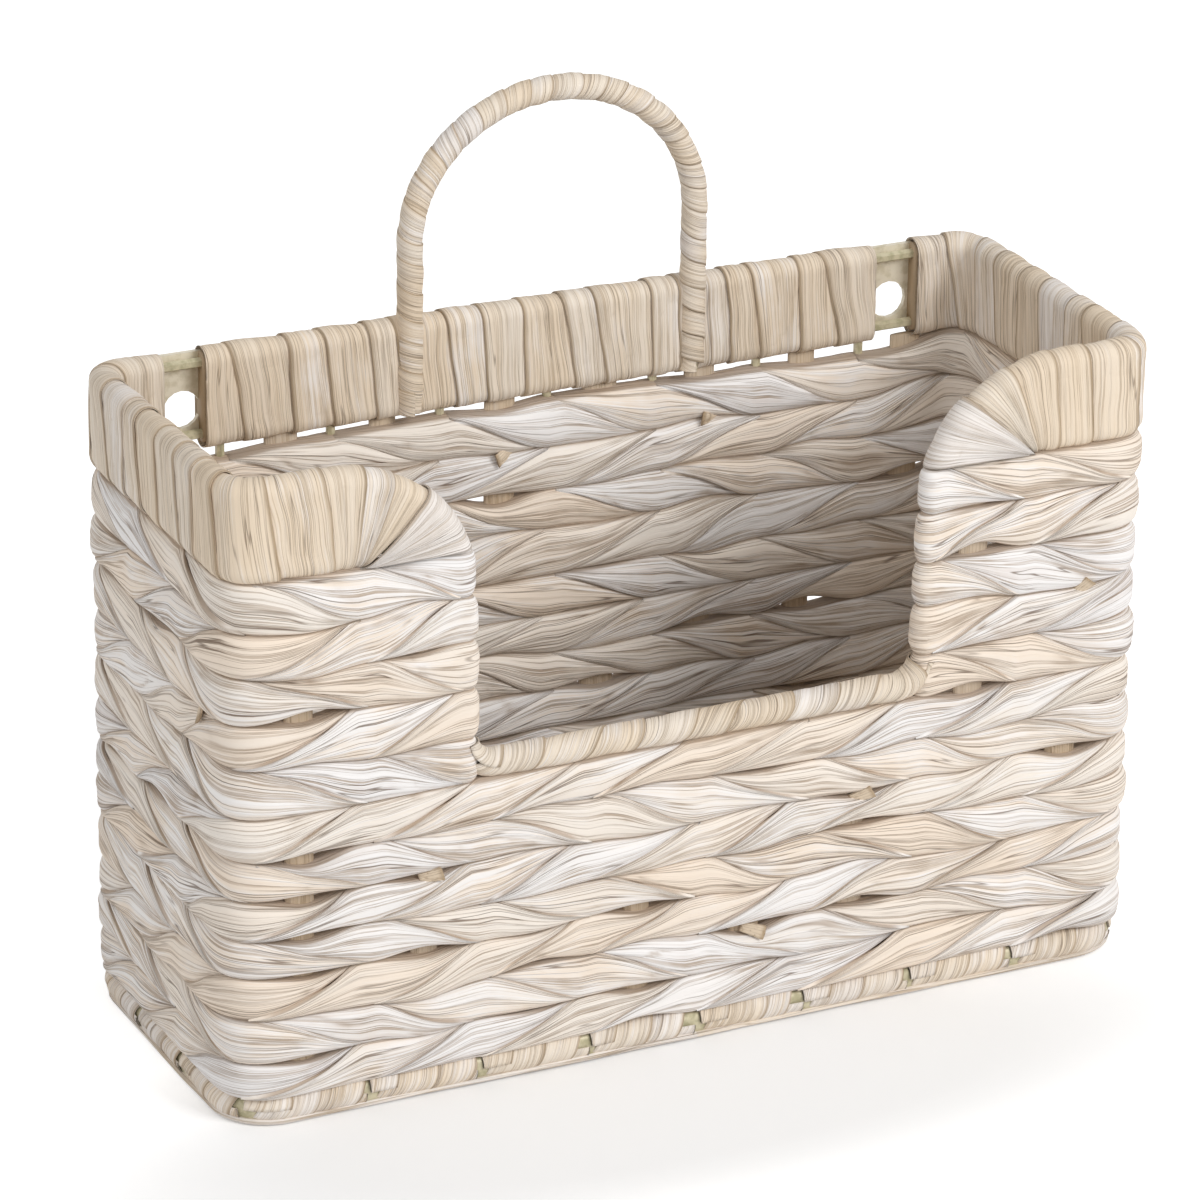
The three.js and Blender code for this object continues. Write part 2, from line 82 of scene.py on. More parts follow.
# Walls and stakes
STRAIGHT_X = HALF_WIDTH - CORNER
STRAIGHT_Y = HALF_DEPTH - CORNER
ARC = math.pi / 2 * CORNER
WALL_LENGTH = 4 * (STRAIGHT_X + STRAIGHT_Y + ARC)
ROUND = 2
BAND_SQUARE = 3.3
ROW_SQUARE = 2.5
LONG_SPACES = 8
SHORT_SPACES = 3
STAKES = 2 * (LONG_SPACES + SHORT_SPACES)
LONG_PITCH = 2 * (STRAIGHT_X + ARC / 2) / LONG_SPACES
SHORT_PITCH = (2 * STRAIGHT_Y + ARC) / SHORT_SPACES
CORNER_STAKE = LONG_SPACES // 2 + SHORT_SPACES
OPEN_ENDS = [2, STAKES - 2]
UP = np.array([0.0, 0.0, 1.0])
FRONT = np.array([0.0, -1.0, 0.0])
RIGHT = np.array([1.0, 0.0, 0.0])
TINY = 1e-6

# The start of each part's random draws
SEEDS = {
    "right": 11, "left": 12, "back": 13, "scoop": 21, "base": 31, "core": 33, "handle": 41, "lip": 51,
    "floor": 60, "warp": 71, "cut_end": 80, "seam": 500, "top": 519, "scallop": 520, "notch": 540,
    "drift": 700, "style": 900, "strand": 1000,
}


# Routes

def wall(distance, square=BAND_SQUARE):
    """Plan points and outward directions at distances round the walls, rightwards from the front's middle.

    The corners are round with square at 2, and swell towards square corners above it."""
    s = np.mod(np.asarray(distance, float), WALL_LENGTH)
    x, y = STRAIGHT_X, STRAIGHT_Y
    at = np.zeros(s.shape + (3,))
    out = np.zeros(s.shape + (3,))
    start = -x
    for side, (centre_x, centre_y) in enumerate([(x, -y), (x, y), (-x, y), (-x, -y), (x, -y)]):
        length = 2 * y if side % 2 else 2 * x
        past = s - start - length
        turned = np.clip(past / CORNER, 0, math.pi / 2)
        heading = side * math.pi / 2 + turned
        swell = (np.abs(np.cos(turned)) ** square + np.abs(np.sin(turned)) ** square) ** (-1 / square)
        normal = np.stack([np.sin(heading), -np.cos(heading), 0 * s], -1) * swell[..., None]
        along = np.stack([np.cos(heading), np.sin(heading), 0 * s], -1) * np.minimum(past, 0)[..., None]
        place = np.array([centre_x, centre_y, 0.0]) + CORNER * normal + along
        reached = (s >= start)[..., None]
        at = np.where(reached, place, at)
        out = np.where(reached, normal, out)
        start += length + ARC
    return at, out


def stake_distances(upright=None):
    """Where each stake stands round the walls; the scoop's uprights take two stakes' places, if given."""
    half_front = [LONG_PITCH] * (LONG_SPACES // 2)
    side = [SHORT_PITCH] * SHORT_SPACES
    places = np.concatenate([[0], np.cumsum(half_front + side + 2 * half_front + side + half_front)])
    if upright is not None:
        places[OPEN_ENDS] = upright, WALL_LENGTH - upright
    return places


PLACES = stake_distances()


def scoop_x(z):
    """Distance from the middle to the scoop's upright wire at a height."""
    reach = SHOULDER - SCOOP_RADIUS
    above = min(max(z - SHOULDER_Z, 0.0), reach)
    return SHOULDER_X - math.sqrt(reach ** 2 - above ** 2)


def ring(steps):
    """Plan points and outward directions at even steps round the base."""
    return wall(np.arange(steps) / steps * WALL_LENGTH, ROUND)


# Random values and surfaces

CREASE_SLOPE = 3.2
CREASE_POWER = 1.5
BLEND_SHARE = 0.8


def random_for(part, index=0):
    return np.random.default_rng(SEEDS[part] + index)


def smooth(t):
    """Rises smoothly from 0 at 0 to 1 at 1, and stays level beyond."""
    t = np.clip(t, 0, 1)
    return t * t * (3 - 2 * t)


def lattice(rng, rows, cols, along, across, closed):
    """Smooth random values in 0..1, periodic across, and along too when closed."""
    grid = rng.random((along + 1, across))
    if closed:
        grid[along] = grid[0]
    i = np.clip(np.linspace(0, along, rows, endpoint=not closed), 0, along - TINY)[:, None]
    j = np.linspace(0, across, cols, endpoint=False)[None, :]
    i0 = np.floor(i).astype(int)
    j0 = np.floor(j).astype(int)
    fi = smooth(i - i0)
    fj = smooth(j - j0)
    a, b = j0 % across, (j0 + 1) % across
    low = grid[i0, a] * (1 - fj) + grid[i0, b] * fj
    high = grid[i0 + 1, a] * (1 - fj) + grid[i0 + 1, b] * fj
    return low * (1 - fi) + high * fi


def ripples(*draw):
    return lattice(*draw) * 2 - 1


def creases(*draw):
    """Thin valleys that run lengthwise, 0 away from them and 1 at their bottom."""
    return np.clip(1 - np.abs(ripples(*draw)) * CREASE_SLOPE, 0, 1) ** CREASE_POWER


def wander(rng, steps, lengths, closed=False):
    """A random curve in -1..1 along one edge."""
    return ripples(rng, steps, 1, lengths, 1, closed)


def stepped(values, x):
    """The value of each whole step of x, blended round its start; x wraps round the list of values."""
    index = np.floor(x + BLEND_SHARE / 2).astype(int)
    part = smooth((x + BLEND_SHARE / 2 - index) / BLEND_SHARE)
    count = len(values)
    return values[(index - 1) % count] * (1 - part) + values[index % count] * part


# Meshes

ATLAS_MARGIN_SHARE = 0.04


class Piece:
    """Collects closed patches of quads with their pattern coordinates, then makes one Blender mesh."""

    def __init__(self, name):
        self.name = name
        self.points, self.faces, self.fibre, self.cells, self.tone = [], [], [], [], []
        self.count = 0
        self.cell_count = 0

    def add(self, points, length, girth, tone, closed=True, chunks=1, offset=(0.0, 0.0)):
        """points is rows x cols x 3, closed across; length and girth size the fibre pattern."""
        rows, cols = points.shape[:2]
        index = self.count + np.arange(rows * cols).reshape(rows, cols)
        spans = rows if closed else rows - 1
        i, j = np.arange(spans), np.arange(cols)
        here = index[:spans]
        after = np.roll(index, -1, 0)[:spans]
        quads = np.stack([here, np.roll(here, -1, 1), np.roll(after, -1, 1), after], -1).reshape(-1, 4)
        u = np.stack([i, i, i + 1, i + 1], -1)[:, None, :].repeat(cols, 1)
        v = np.stack([j, j + 1, j + 1, j], -1)[None, :, :].repeat(spans, 0)
        flipped = self._inward(points, quads - self.count)
        if flipped:
            quads, u, v = quads[:, ::-1], u[..., ::-1], v[..., ::-1]
        fibre = np.stack([u / spans * length + offset[0], v / cols * girth + offset[1]], -1)
        step = math.ceil(spans / chunks)
        chunk = i // step
        inner_u = (u - (chunk * step)[:, None, None]) / step
        cell = self.cell_count + chunk[:, None, None] + 0 * u
        self.cells.append(np.stack([inner_u, v / cols, cell], -1).reshape(-1, 3))
        self.fibre.append(fibre.reshape(-1, 2))
        self.faces.append(quads)
        self.points.append(points.reshape(-1, 3))
        self.tone.append(tone.reshape(-1, 4))
        self.count += rows * cols
        self.cell_count += chunks
        if not closed:
            self._cap(index[0] if flipped else index[0][::-1])
            self._cap(index[-1][::-1] if flipped else index[-1])

    def _inward(self, points, quads):
        """True where the quads' turning sense puts their faces inwards."""
        p = points.reshape(-1, 3)
        a, b, c, d = (p[quads[:, k]] - p.mean(0) for k in range(4))
        return np.einsum("ij,ij->", a, np.cross(b, c)) + np.einsum("ij,ij->", a, np.cross(c, d)) < 0

    def _cap(self, loop):
        """Closes an end ring by quads from one half of it to the other."""
        half = len(loop) // 2
        back = loop[::-1]
        quads = np.stack([loop[:half - 1], loop[1:half], back[1:half], back[:half - 1]], -1)
        self.faces.append(quads)
        blank = np.zeros((quads.size, 3))
        self.fibre.append(blank[:, :2])
        self.cells.append(blank)

    def build(self, material, nodes=(), cell_aspect=1.0):
        points = np.concatenate(self.points)
        quads = np.concatenate(self.faces)
        mesh = bpy.data.meshes.new(self.name)
        mesh.vertices.add(len(points))
        mesh.vertices.foreach_set("co", points.ravel())
        mesh.loops.add(quads.size)
        mesh.loops.foreach_set("vertex_index", quads.ravel())
        mesh.polygons.add(len(quads))
        mesh.polygons.foreach_set("loop_start", np.arange(0, quads.size, 4))
        mesh.polygons.foreach_set("use_smooth", np.ones(len(quads), bool))
        bake = mesh.uv_layers.new(name="OFBake")
        bake.data.foreach_set("uv", self._atlas(cell_aspect).ravel())
        fibre = mesh.uv_layers.new(name="fibre")
        fibre.data.foreach_set("uv", np.concatenate(self.fibre).ravel())
        tone = mesh.color_attributes.new("tone", "FLOAT_COLOR", "POINT")
        tone.data.foreach_set("color", np.concatenate(self.tone).ravel())
        mesh.update(calc_edges=True)
        mesh.validate()
        mesh.materials.append(material)
        piece = bpy.data.objects.new(self.name, mesh)
        bpy.context.collection.objects.link(piece)
        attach(piece, "root")
        if nodes:
            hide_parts(*nodes)

    def _atlas(self, aspect):
        """Cells of length to girth aspect, laid out in a near-square grid."""
        cells = np.concatenate(self.cells)
        columns = max(1, round(math.sqrt(self.cell_count / aspect)))
        lines = math.ceil(self.cell_count / columns)
        inner = ATLAS_MARGIN_SHARE / 2 + cells[:, :2] * (1 - ATLAS_MARGIN_SHARE)
        column = cells[:, 2] % columns
        line = cells[:, 2] // columns
        return np.stack([(column + inner[:, 0]) / columns, (line + inner[:, 1]) / lines], -1)


def tone_of(crease, warmth, wash, tuck):
    """The four inputs of the fibre material at each point: crease, warmth, wash and tuck; crease and tuck
    set how much painted shade darkens it.
    """
    tone = np.empty(crease.shape + (4,))
    for channel, value in enumerate((crease, warmth, wash, tuck)):
        tone[..., channel] = value
    return tone


# Twined strands: heights of the rows, laps, and the shape of each leaf-like face

FULL_ROWS = 7
OPEN_ROWS = 5
ROWS_LAP = 0.0008
ROWS_BOTTOM = base_box[1].z - ROWS_LAP
OPEN_BOTTOM = scoop_box[0].z
OPEN_TOP = BAND_BOTTOM - TOUCH_GAP
WAVE_COUNTS = (2, 5, 9)
SEAM_WAVE = 0.0018
SCALLOP = 0.0024
NOTCH = 0.0030
NOTCH_SKIP_SHARE = 1.9
BACK_GAP = 0.0085
BACK_MIDDLE_SHARE = 0.35
BACK_EDGE_SHARE = 0.25
DRIFT = 0.09
LAP_STAKE = STAKES - 5
STYLE_SPANS = {"reach": (0.93, 1.08), "tilt": (0.3, 1.7), "warmth": (0.0, 1.0), "wash": (0.0, 1.0)}
ROW_REACH = 0.0070
LAP = 0.0009
BOX_POWER = 4.0
DIAGONAL_CURVE_SHARE = 0.45
BUNCH_SHARE = 0.1
OVERLAP = 0.0010
OVER_WIDTH = 0.0013
OVER_DROP = 0.0005
OVER_PAINTED_SHADE = 0.8
UNDER_WIDTH = 0.0048
UNDER_DROP = 0.0026
TIP_SHARE = 0.25
MIDDLE_SHARE = 0.2
PILLOW = 0.0007
TILT = 0.0005
EDGE_PAINTED_SHADE = 0.85
EDGE_START_SHARE = 0.80
EDGE_SHARE = 0.1
# Count, depth and painted shade of the folds and grooves
FOLDS, FOLD_DEPTH, FOLD_PAINTED_SHADE = 4, 0.0004, 0.5
GROOVES, GROOVE_DEPTH, GROOVE_PAINTED_SHADE = 11, 0.00025, 0.4
SWELLS, SWELL_HEIGHT = 3, 0.00035
END_SPACES = 0.8
TURN_OUTER = 0.0053
STATIONS_PER_SPACE = 20
LEAST_LENGTHS = 4
FACE_SIDES = 26
JOIN_SIDES = 3
ROW_GIRTH = 0.036
ROW_SHIFT = 1.7
HALF_SHIFT = 0.61
OPEN_SHIFT = 0.3
ROW_CELL_ASPECT = 3.6


def wave(rng, n):
    """A slow random curve in -1..1 over the stake coordinates, the same at both ends of a lap."""
    phase = rng.uniform(0, 2 * math.pi, len(WAVE_COUNTS))
    lap = 2 * math.pi * n / STAKES
    return sum(np.sin(count * lap + shift) for count, shift in zip(WAVE_COUNTS, phase)) / len(WAVE_COUNTS)


def per_space(rng, n, low, high):
    """A random height for every space between stakes, which sinks to 0 at the stakes."""
    values = rng.uniform(low, high, STAKES)
    return values[np.floor(n).astype(int) % STAKES] * np.sin(math.pi * n) ** 2


def seam(index, n):
    """Height of the uneven line under a row at stake coordinates n."""
    full = np.linspace(ROWS_BOTTOM, OPEN_BOTTOM, FULL_ROWS + 1)
    opened = np.linspace(OPEN_BOTTOM, OPEN_TOP, OPEN_ROWS + 1)
    level = np.concatenate([full, opened[1:]])[index]
    from_middle = np.abs(n - STAKES / 2) / (STAKES / 2 - CORNER_STAKE)
    sag = BACK_MIDDLE_SHARE + (1 - BACK_MIDDLE_SHARE) * np.minimum(from_middle, 1) ** 2
    behind = smooth((1 - from_middle) / BACK_EDGE_SHARE) * sag
    level = level - BACK_GAP * behind * max(index - FULL_ROWS, 0) / OPEN_ROWS
    if index == FULL_ROWS + OPEN_ROWS:
        return level + behind * per_space(random_for("top"), n, -SCALLOP, SCALLOP)
    if index in (0, FULL_ROWS):
        return level + 0 * n
    scallops = per_space(random_for("scallop", index), n, -SCALLOP, SCALLOP)
    return level + SEAM_WAVE * wave(random_for("seam", index), n) + scallops


def notch(index, n):
    """How far the rows draw back from a seam, which leaves a small gap at some spaces."""
    return np.clip(per_space(random_for("notch", index), n, -NOTCH * NOTCH_SKIP_SHARE, NOTCH), 0, NOTCH)


def leaf_styles(row):
    """Random values for every leaf: by side (outside, inside) and by the stake at its middle."""
    rng = random_for("style", row)
    styles = {kind: rng.uniform(low, high, (2, STAKES)) for kind, (low, high) in STYLE_SPANS.items()}
    if row >= FULL_ROWS:
        for values in styles.values():
            values[1, OPEN_ENDS] = values[0, OPEN_ENDS]
    return styles


def diagonal(x):
    """Height in -1..1 of the line between two strands, which climbs the row while x goes from 0 to 1."""
    x = np.clip(x, 0, 1)
    return (1 - DIAGONAL_CURVE_SHARE) * (2 * x - 1) - DIAGONAL_CURVE_SHARE * np.cos(math.pi * x)


def leaf_face(turn, half, reach, tilt, relief):
    """Offsets out and up across a leaf, from its lower to its upper edge, and the painted shade where it
    tucks under, laps over and meets the seams.

    turn runs from -1 at its lower tip to 1 at its upper tip, and at 0 the leaf covers the whole row."""
    rising = turn < 0
    share = np.linspace(0, 1, FACE_SIDES)[None, :]
    share = share - BUNCH_SHARE * np.sin(2 * math.pi * share)
    lap = OVERLAP / half
    lower = np.where(rising, -1, np.clip(diagonal(turn) - lap, -1, 1))
    upper = np.where(rising, np.clip(diagonal(1 + turn) + lap, -1, 1), 1)
    level = lower + share * (upper - lower)
    rounded = (1 - np.abs(level) ** BOX_POWER) ** 0.5
    ends = smooth((1 - np.abs(turn)) / TIP_SHARE) * smooth(np.abs(turn) / MIDDLE_SHARE)
    # Painted shade near the edge that tucks under a neighbour; near the edge that laps over one it is
    # partly painted shade and partly the leaf's browner rim
    over = np.clip(1 - (upper - level) * half / OVER_WIDTH, 0, 1) ** 2 * rising * ends
    under = np.clip(1 - (level - lower) * half / UNDER_WIDTH, 0, 1) ** 2 * ~rising * ends
    bulge = PILLOW * (2 * share - 1) ** 2 * ends + relief * 4 * share * (1 - share)
    lean = TILT * tilt * np.sin(math.pi / 2 * turn)
    out = rounded * (reach - OVER_DROP * over - UNDER_DROP * under - bulge - lean)
    # Painted shade along the seams between rows
    edge = EDGE_PAINTED_SHADE * np.clip((np.abs(level) - EDGE_START_SHARE) / EDGE_SHARE, 0, 1)
    return out, level * half, np.maximum(np.maximum(under, OVER_PAINTED_SHADE * over), edge)


def face_relief(rng, rows, closed):
    """Lengthwise folds and grooves pressed into a strand's face, and how much painted shade lies in its
    creases.
    """
    lengths = max(LEAST_LENGTHS, round(rows / STATIONS_PER_SPACE))
    folds = creases(rng, rows, FACE_SIDES, lengths, FOLDS, closed)
    grooves = creases(rng, rows, FACE_SIDES, lengths, GROOVES, closed)
    swells = ripples(rng, rows, FACE_SIDES, lengths, SWELLS, closed)
    relief = FOLD_DEPTH * folds + GROOVE_DEPTH * grooves - SWELL_HEIGHT * swells
    return relief, np.clip(FOLD_PAINTED_SHADE * folds + GROOVE_PAINTED_SHADE * grooves, 0, 1)


def around(outer, inner):
    """A ring's values from those of its two faces, with the joins between them."""
    share = ((np.arange(JOIN_SIDES) + 1) / (JOIN_SIDES + 1))[None, :]
    back = outer[:, -1:] * (1 - share) + inner[:, :1] * share
    forth = inner[:, -1:] * (1 - share) + outer[:, :1] * share
    return np.concatenate([outer, back, inner, forth], 1)


def strand(row, n, half, places, styles, ends=()):
    """One of a row's two strands at stake coordinates n: rings of points and their tones.

    Each strand shows a leaf outside and then one inside, and the two strands take turns."""
    lean = 1 if row % 2 == 0 else -1
    rng = np.random.default_rng((SEEDS["strand"] + row, half))
    n = n[:, None]
    near = sum((smooth(1 - np.abs(n - end) / END_SPACES) for end in ends), 0 * n)
    low = seam(row, n) - LAP + notch(row, n)
    high = seam(row + 1, n) + LAP - notch(row + 1, n)
    at, out = wall(np.interp(n[:, 0], np.arange(len(places)), places), ROW_SQUARE)
    theta = lean * n + half + DRIFT * wave(random_for("drift", row), n) * (1 - near)
    faces, tones = [], []
    for side, sign in enumerate((1, -1)):
        turn = np.mod(theta - side + 1 - TINY, 2) - 1 + TINY
        stake = np.round(n - lean * turn).astype(int) % STAKES
        style = {kind: values[side][stake] for kind, values in styles.items()}
        relief, crease = face_relief(rng, len(n), not ends)
        u, w, tuck = leaf_face(turn, (high - low) / 2, ROW_REACH * style["reach"], style["tilt"], relief)
        faces.append(sign * np.stack([u, w]))
        tones.append(tone_of(crease, style["warmth"], style["wash"], tuck))
    u, w = (around(outer, inner) for outer, inner in zip(*faces))
    u = u * (1 - near + near * TURN_OUTER / ROW_REACH)
    points = at[:, None, :] + out[:, None, :] * u[..., None] + UP * ((low + high) / 2 + w)[..., None]
    seamed = tones[0][:, -1:].repeat(JOIN_SIDES, 1)
    return points, np.concatenate([tones[0], seamed, tones[1], seamed], 1)


def turn_round(upright, start, towards, ring_points):
    """A strand's half turn round an upright wire: the ring of points in front of it, swung to the back."""
    steps = STATIONS_PER_SPACE // 2
    beta = np.linspace(0, math.pi, steps + 2)[1:-1][:, None, None]
    reach = ((ring_points - upright) @ start)[None, :, None]
    level = UP * ring_points[None]
    return upright + reach * (np.cos(beta) * start + np.sin(beta) * towards) + level


def full_row(row, material):
    """Two strands that each run right round the basket."""
    label = f"{row + 1:02d}"
    steps = np.arange(STAKES * STATIONS_PER_SPACE) / STATIONS_PER_SPACE
    styles = leaf_styles(row)
    for half, letter in enumerate("ab"):
        n = np.mod(LAP_STAKE - half + steps, STAKES)
        points, tone = strand(row, n, half, PLACES, styles)
        piece = Piece(f"twined_row_{label}_{letter}")
        shift = (row * ROW_SHIFT, half * HALF_SHIFT)
        piece.add(points, WALL_LENGTH, ROW_GIRTH, tone, chunks=6, offset=shift)
        piece.build(material, [f"row_{label}_strand_{letter}"], ROW_CELL_ASPECT)


def open_row(row, material):
    """Both strands of a row above the scoop: one loop that turns round the two uprights."""
    label = f"{row + 1:02d}"
    first, last = OPEN_ENDS
    upright = scoop_x((seam(row, first) + seam(row + 1, first)) / 2)
    places = stake_distances(upright)
    n = first + np.arange((last - first) * STATIONS_PER_SPACE + 1) / STATIONS_PER_SPACE
    styles = leaf_styles(row)
    outer, outer_tone = strand(row, n, 0, places, styles, OPEN_ENDS)
    inner, inner_tone = strand(row, n, 1, places, styles, OPEN_ENDS)
    inner = np.roll(inner[::-1, ::-1], -JOIN_SIDES, 1)
    inner_tone = np.roll(inner_tone[::-1, ::-1], -JOIN_SIDES, 1)
    left = turn_round(-upright * RIGHT + HALF_DEPTH * FRONT, FRONT, RIGHT, outer[-1])
    right = turn_round(upright * RIGHT + HALF_DEPTH * FRONT, -FRONT, -RIGHT, inner[-1])
    points = np.concatenate([outer, left, inner, right])
    left_tone, right_tone = outer_tone[-1:].repeat(len(left), 0), inner_tone[-1:].repeat(len(right), 0)
    tone = np.concatenate([outer_tone, left_tone, inner_tone, right_tone])
    start = (LAP_STAKE - first) * STATIONS_PER_SPACE
    points, tone = np.roll(points, -start, 0), np.roll(tone, -start, 0)
    piece = Piece(f"twined_row_{label}")
    piece.add(points, 2 * WALL_LENGTH, ROW_GIRTH, tone, chunks=10, offset=(row * ROW_SHIFT, OPEN_SHIFT))
    nodes = [f"row_{label}_strand_{letter}" for letter in "ab"]
    piece.build(material, nodes, ROW_CELL_ASPECT)


def weave(material):
    for row in range(FULL_ROWS):
        full_row(row, material)
    for row in range(FULL_ROWS, FULL_ROWS + OPEN_ROWS):
        open_row(row, material)


# Upright strips inside the rows, and cut ends

CAP_SIDES = 36
CAP_ANGLES = np.linspace(0, 2 * math.pi, CAP_SIDES, endpoint=False)[None, :]
WARP_STEPS = 24
WARP_WANDER = 0.003
WARP_WIDTHS = (0.0055, 0.0075)
WARP_THICKNESS = 0.0016
WARP_TONE = 0.3
# Painted shade on the upright strips, which lie deep in the gaps
WARP_PAINTED_SHADE = 0.75
WARP_CELL_ASPECT = 8.0
CORD_POWER = 0.64
FLAT_FOLDS = 9
FLAT_ROWS_PER_LENGTH = 12
FLAT_FOLD_DEPTH = 0.0003
STUB_STEPS = 14
STUB_LENGTH = 0.008
STUB_START = 0.0030
STUB_RISE = 0.0045
STUB_HALF_WIDTH = 0.0019
STUB_FLARE = 0.0008
STUB_FRAY = 0.0003
STUB_HALF_THICKNESS = 0.0010
STUB_GIRTH = 0.012
STUB_TONES = (0.9, 0.2)
STUB_DARK_SHARE = 0.5
STUB_TIP_SHARE = 0.25
STUB_CELL_ASPECT = 1.5
# Stake coordinate, seam, side (1 outside, -1 inside) and slope of each cut end
STUBS = [
    (3.55, 9, 1, 0.9), (17.6, 9, 1, -0.7), (19.55, 5, 1, 0.3), (0.5, 2, 1, -0.3), (1.5, 5, 1, 0.5),
    (9.5, 11, -1, 0.2), (11.45, 11, -1, -0.3), (13.4, 9, -1, 0.4), (8.5, 4, 1, 0.4), (12.5, 6, 1, -0.4),
]


def warp_strips(material):
    """Upright leaf strips inside the rows, which show where the strands leave small gaps, darkened with
    painted shade.
    """
    rng = random_for("warp")
    piece = Piece("warp_strips")
    cosine, sine = np.cos(CAP_ANGLES)[..., None], np.sin(CAP_ANGLES)[..., None]
    for index, distance in enumerate((PLACES[:-1] + PLACES[1:]) / 2):
        top = OPEN_BOTTOM if min(index, STAKES - 1 - index) < OPEN_ENDS[0] else OPEN_TOP
        z = np.linspace(ROWS_BOTTOM, top, WARP_STEPS)
        at, out = wall(np.full(WARP_STEPS, distance + rng.uniform(-WARP_WANDER, WARP_WANDER)))
        wide = rng.uniform(*WARP_WIDTHS)
        points = (
            (at + UP * z[:, None])[:, None, :]
            + np.cross(UP, out)[:, None, :] * cosine * wide
            + out[:, None, :] * sine * WARP_THICKNESS
        )
        tone = tone_of(np.full(points.shape[:2], WARP_TONE), rng.random(), WARP_TONE, WARP_PAINTED_SHADE)
        piece.add(points, top, 4 * wide, tone, closed=False, offset=tuple(rng.uniform(0, 9, 2)))
    piece.build(material, cell_aspect=WARP_CELL_ASPECT)


def flat_strand(rng, centre, minor, major, wide, thick, closed):
    """A plain flattened strand: rings of points and how deep their creases are, which callers use as
    painted crease shade.
    """
    rows = len(centre)
    wide, thick = (np.full(rows, size)[:, None] for size in (wide, thick))
    lengths = max(LEAST_LENGTHS, rows // FLAT_ROWS_PER_LENGTH)
    folds = creases(rng, rows, CAP_SIDES, lengths, FLAT_FOLDS, closed)
    cosine = np.cos(CAP_ANGLES)
    outward = np.sign(cosine) * np.abs(cosine) ** CORD_POWER * (thick - FLAT_FOLD_DEPTH * folds)
    across = np.sin(CAP_ANGLES) * wide
    points = centre[:, None] + minor[:, None] * outward[..., None] + major[:, None] * across[..., None]
    return points, folds


def cut_ends(material):
    """Cut ends of leaf that poke out where rows meet."""
    piece = Piece("cut_ends")
    t = np.linspace(0, 1, STUB_STEPS)
    run = STUB_LENGTH * (t - 0.5)
    for index, (n, level, side, slope) in enumerate(STUBS):
        rng = random_for("cut_end", index)
        at, out = wall(np.interp(n, np.arange(len(PLACES)), PLACES) + 0 * t)
        along = np.cross(UP, out)
        reach = side * (STUB_START + STUB_RISE * t)
        z = seam(level, np.array([n]))[0] + run * math.sin(slope)
        centre = at + out * reach[:, None] + along * (run * math.cos(slope))[:, None] + UP * z[:, None]
        across = UP * math.cos(slope) - along * math.sin(slope)
        wide = STUB_HALF_WIDTH + STUB_FLARE * t + STUB_FRAY * rng.random(STUB_STEPS)
        points, crease = flat_strand(rng, centre, out, across, wide, STUB_HALF_THICKNESS, False)
        cut = smooth((t - 1) / STUB_TIP_SHARE + 1)[:, None]
        dark = STUB_DARK_SHARE + (1 - STUB_DARK_SHARE) * cut + 0 * crease
        piece.add(points, STUB_LENGTH, STUB_GIRTH, tone_of(crease, *STUB_TONES, dark), closed=False)
    piece.build(material, cell_aspect=STUB_CELL_ASPECT)


# Leaf strips wound round a wire or round the band

# Positions across a strip, over its top and back underneath, and 1 on top or 0 below
STRIP_SIDES = 16
ACROSS = np.concatenate([np.linspace(0, 1, STRIP_SIDES), np.linspace(1, 0, STRIP_SIDES)])
ON_TOP = np.repeat([1.0, 0.0], STRIP_SIDES)
# 1 along the raised edge of a strip's top, falling to 0 a little way in; it darkens that edge, partly as
# the strip's browner edge and partly as painted shade at the lap
EDGE_DARK_SHARE = 1 / 9
RAISED_EDGE = ON_TOP * np.clip(1 - (1 - ACROSS) / EDGE_DARK_SHARE, 0, 1)
STRIP_THICKNESS = 0.0005
STRIP_ROUNDING = 0.0003
STRIP_FOLDS, STRIP_FOLD_DEPTH = 11, 0.00028
STRIP_WAVES, STRIP_WAVE_HEIGHT = 6, 0.00022
STRIP_MARGIN_SHARE = 0.2
STRIP_CREASE_SHADE_SHARE = 0.5
TURN_STEPS = 26
WIND_LIFT = 0.0008
WIND_SINK = 0.0009
WANDER_SHARE = 0.14
WIND_CELL_ASPECT = 1.2


def strip_relief(rng, rows, lengths, lift):
    """Height of a strip over what it is wound on, rising across so that each turn laps the next."""
    folds = creases(rng, rows, len(ACROSS), 2 * lengths, STRIP_FOLDS, False)
    waves = ripples(rng, rows, len(ACROSS), 2 * lengths, STRIP_WAVES, False)
    inside = ON_TOP * np.clip(np.minimum(ACROSS, 1 - ACROSS) / STRIP_MARGIN_SHARE, 0, 1)
    height = lift * ACROSS + STRIP_ROUNDING * (1 - (2 * ACROSS - 1) ** 4) + STRIP_THICKNESS * ON_TOP
    relief = height + inside * (STRIP_WAVE_HEIGHT * waves - STRIP_FOLD_DEPTH * folds)
    # The second value is the painted shade in the strip's folds
    return relief, STRIP_CREASE_SHADE_SHARE * folds * inside


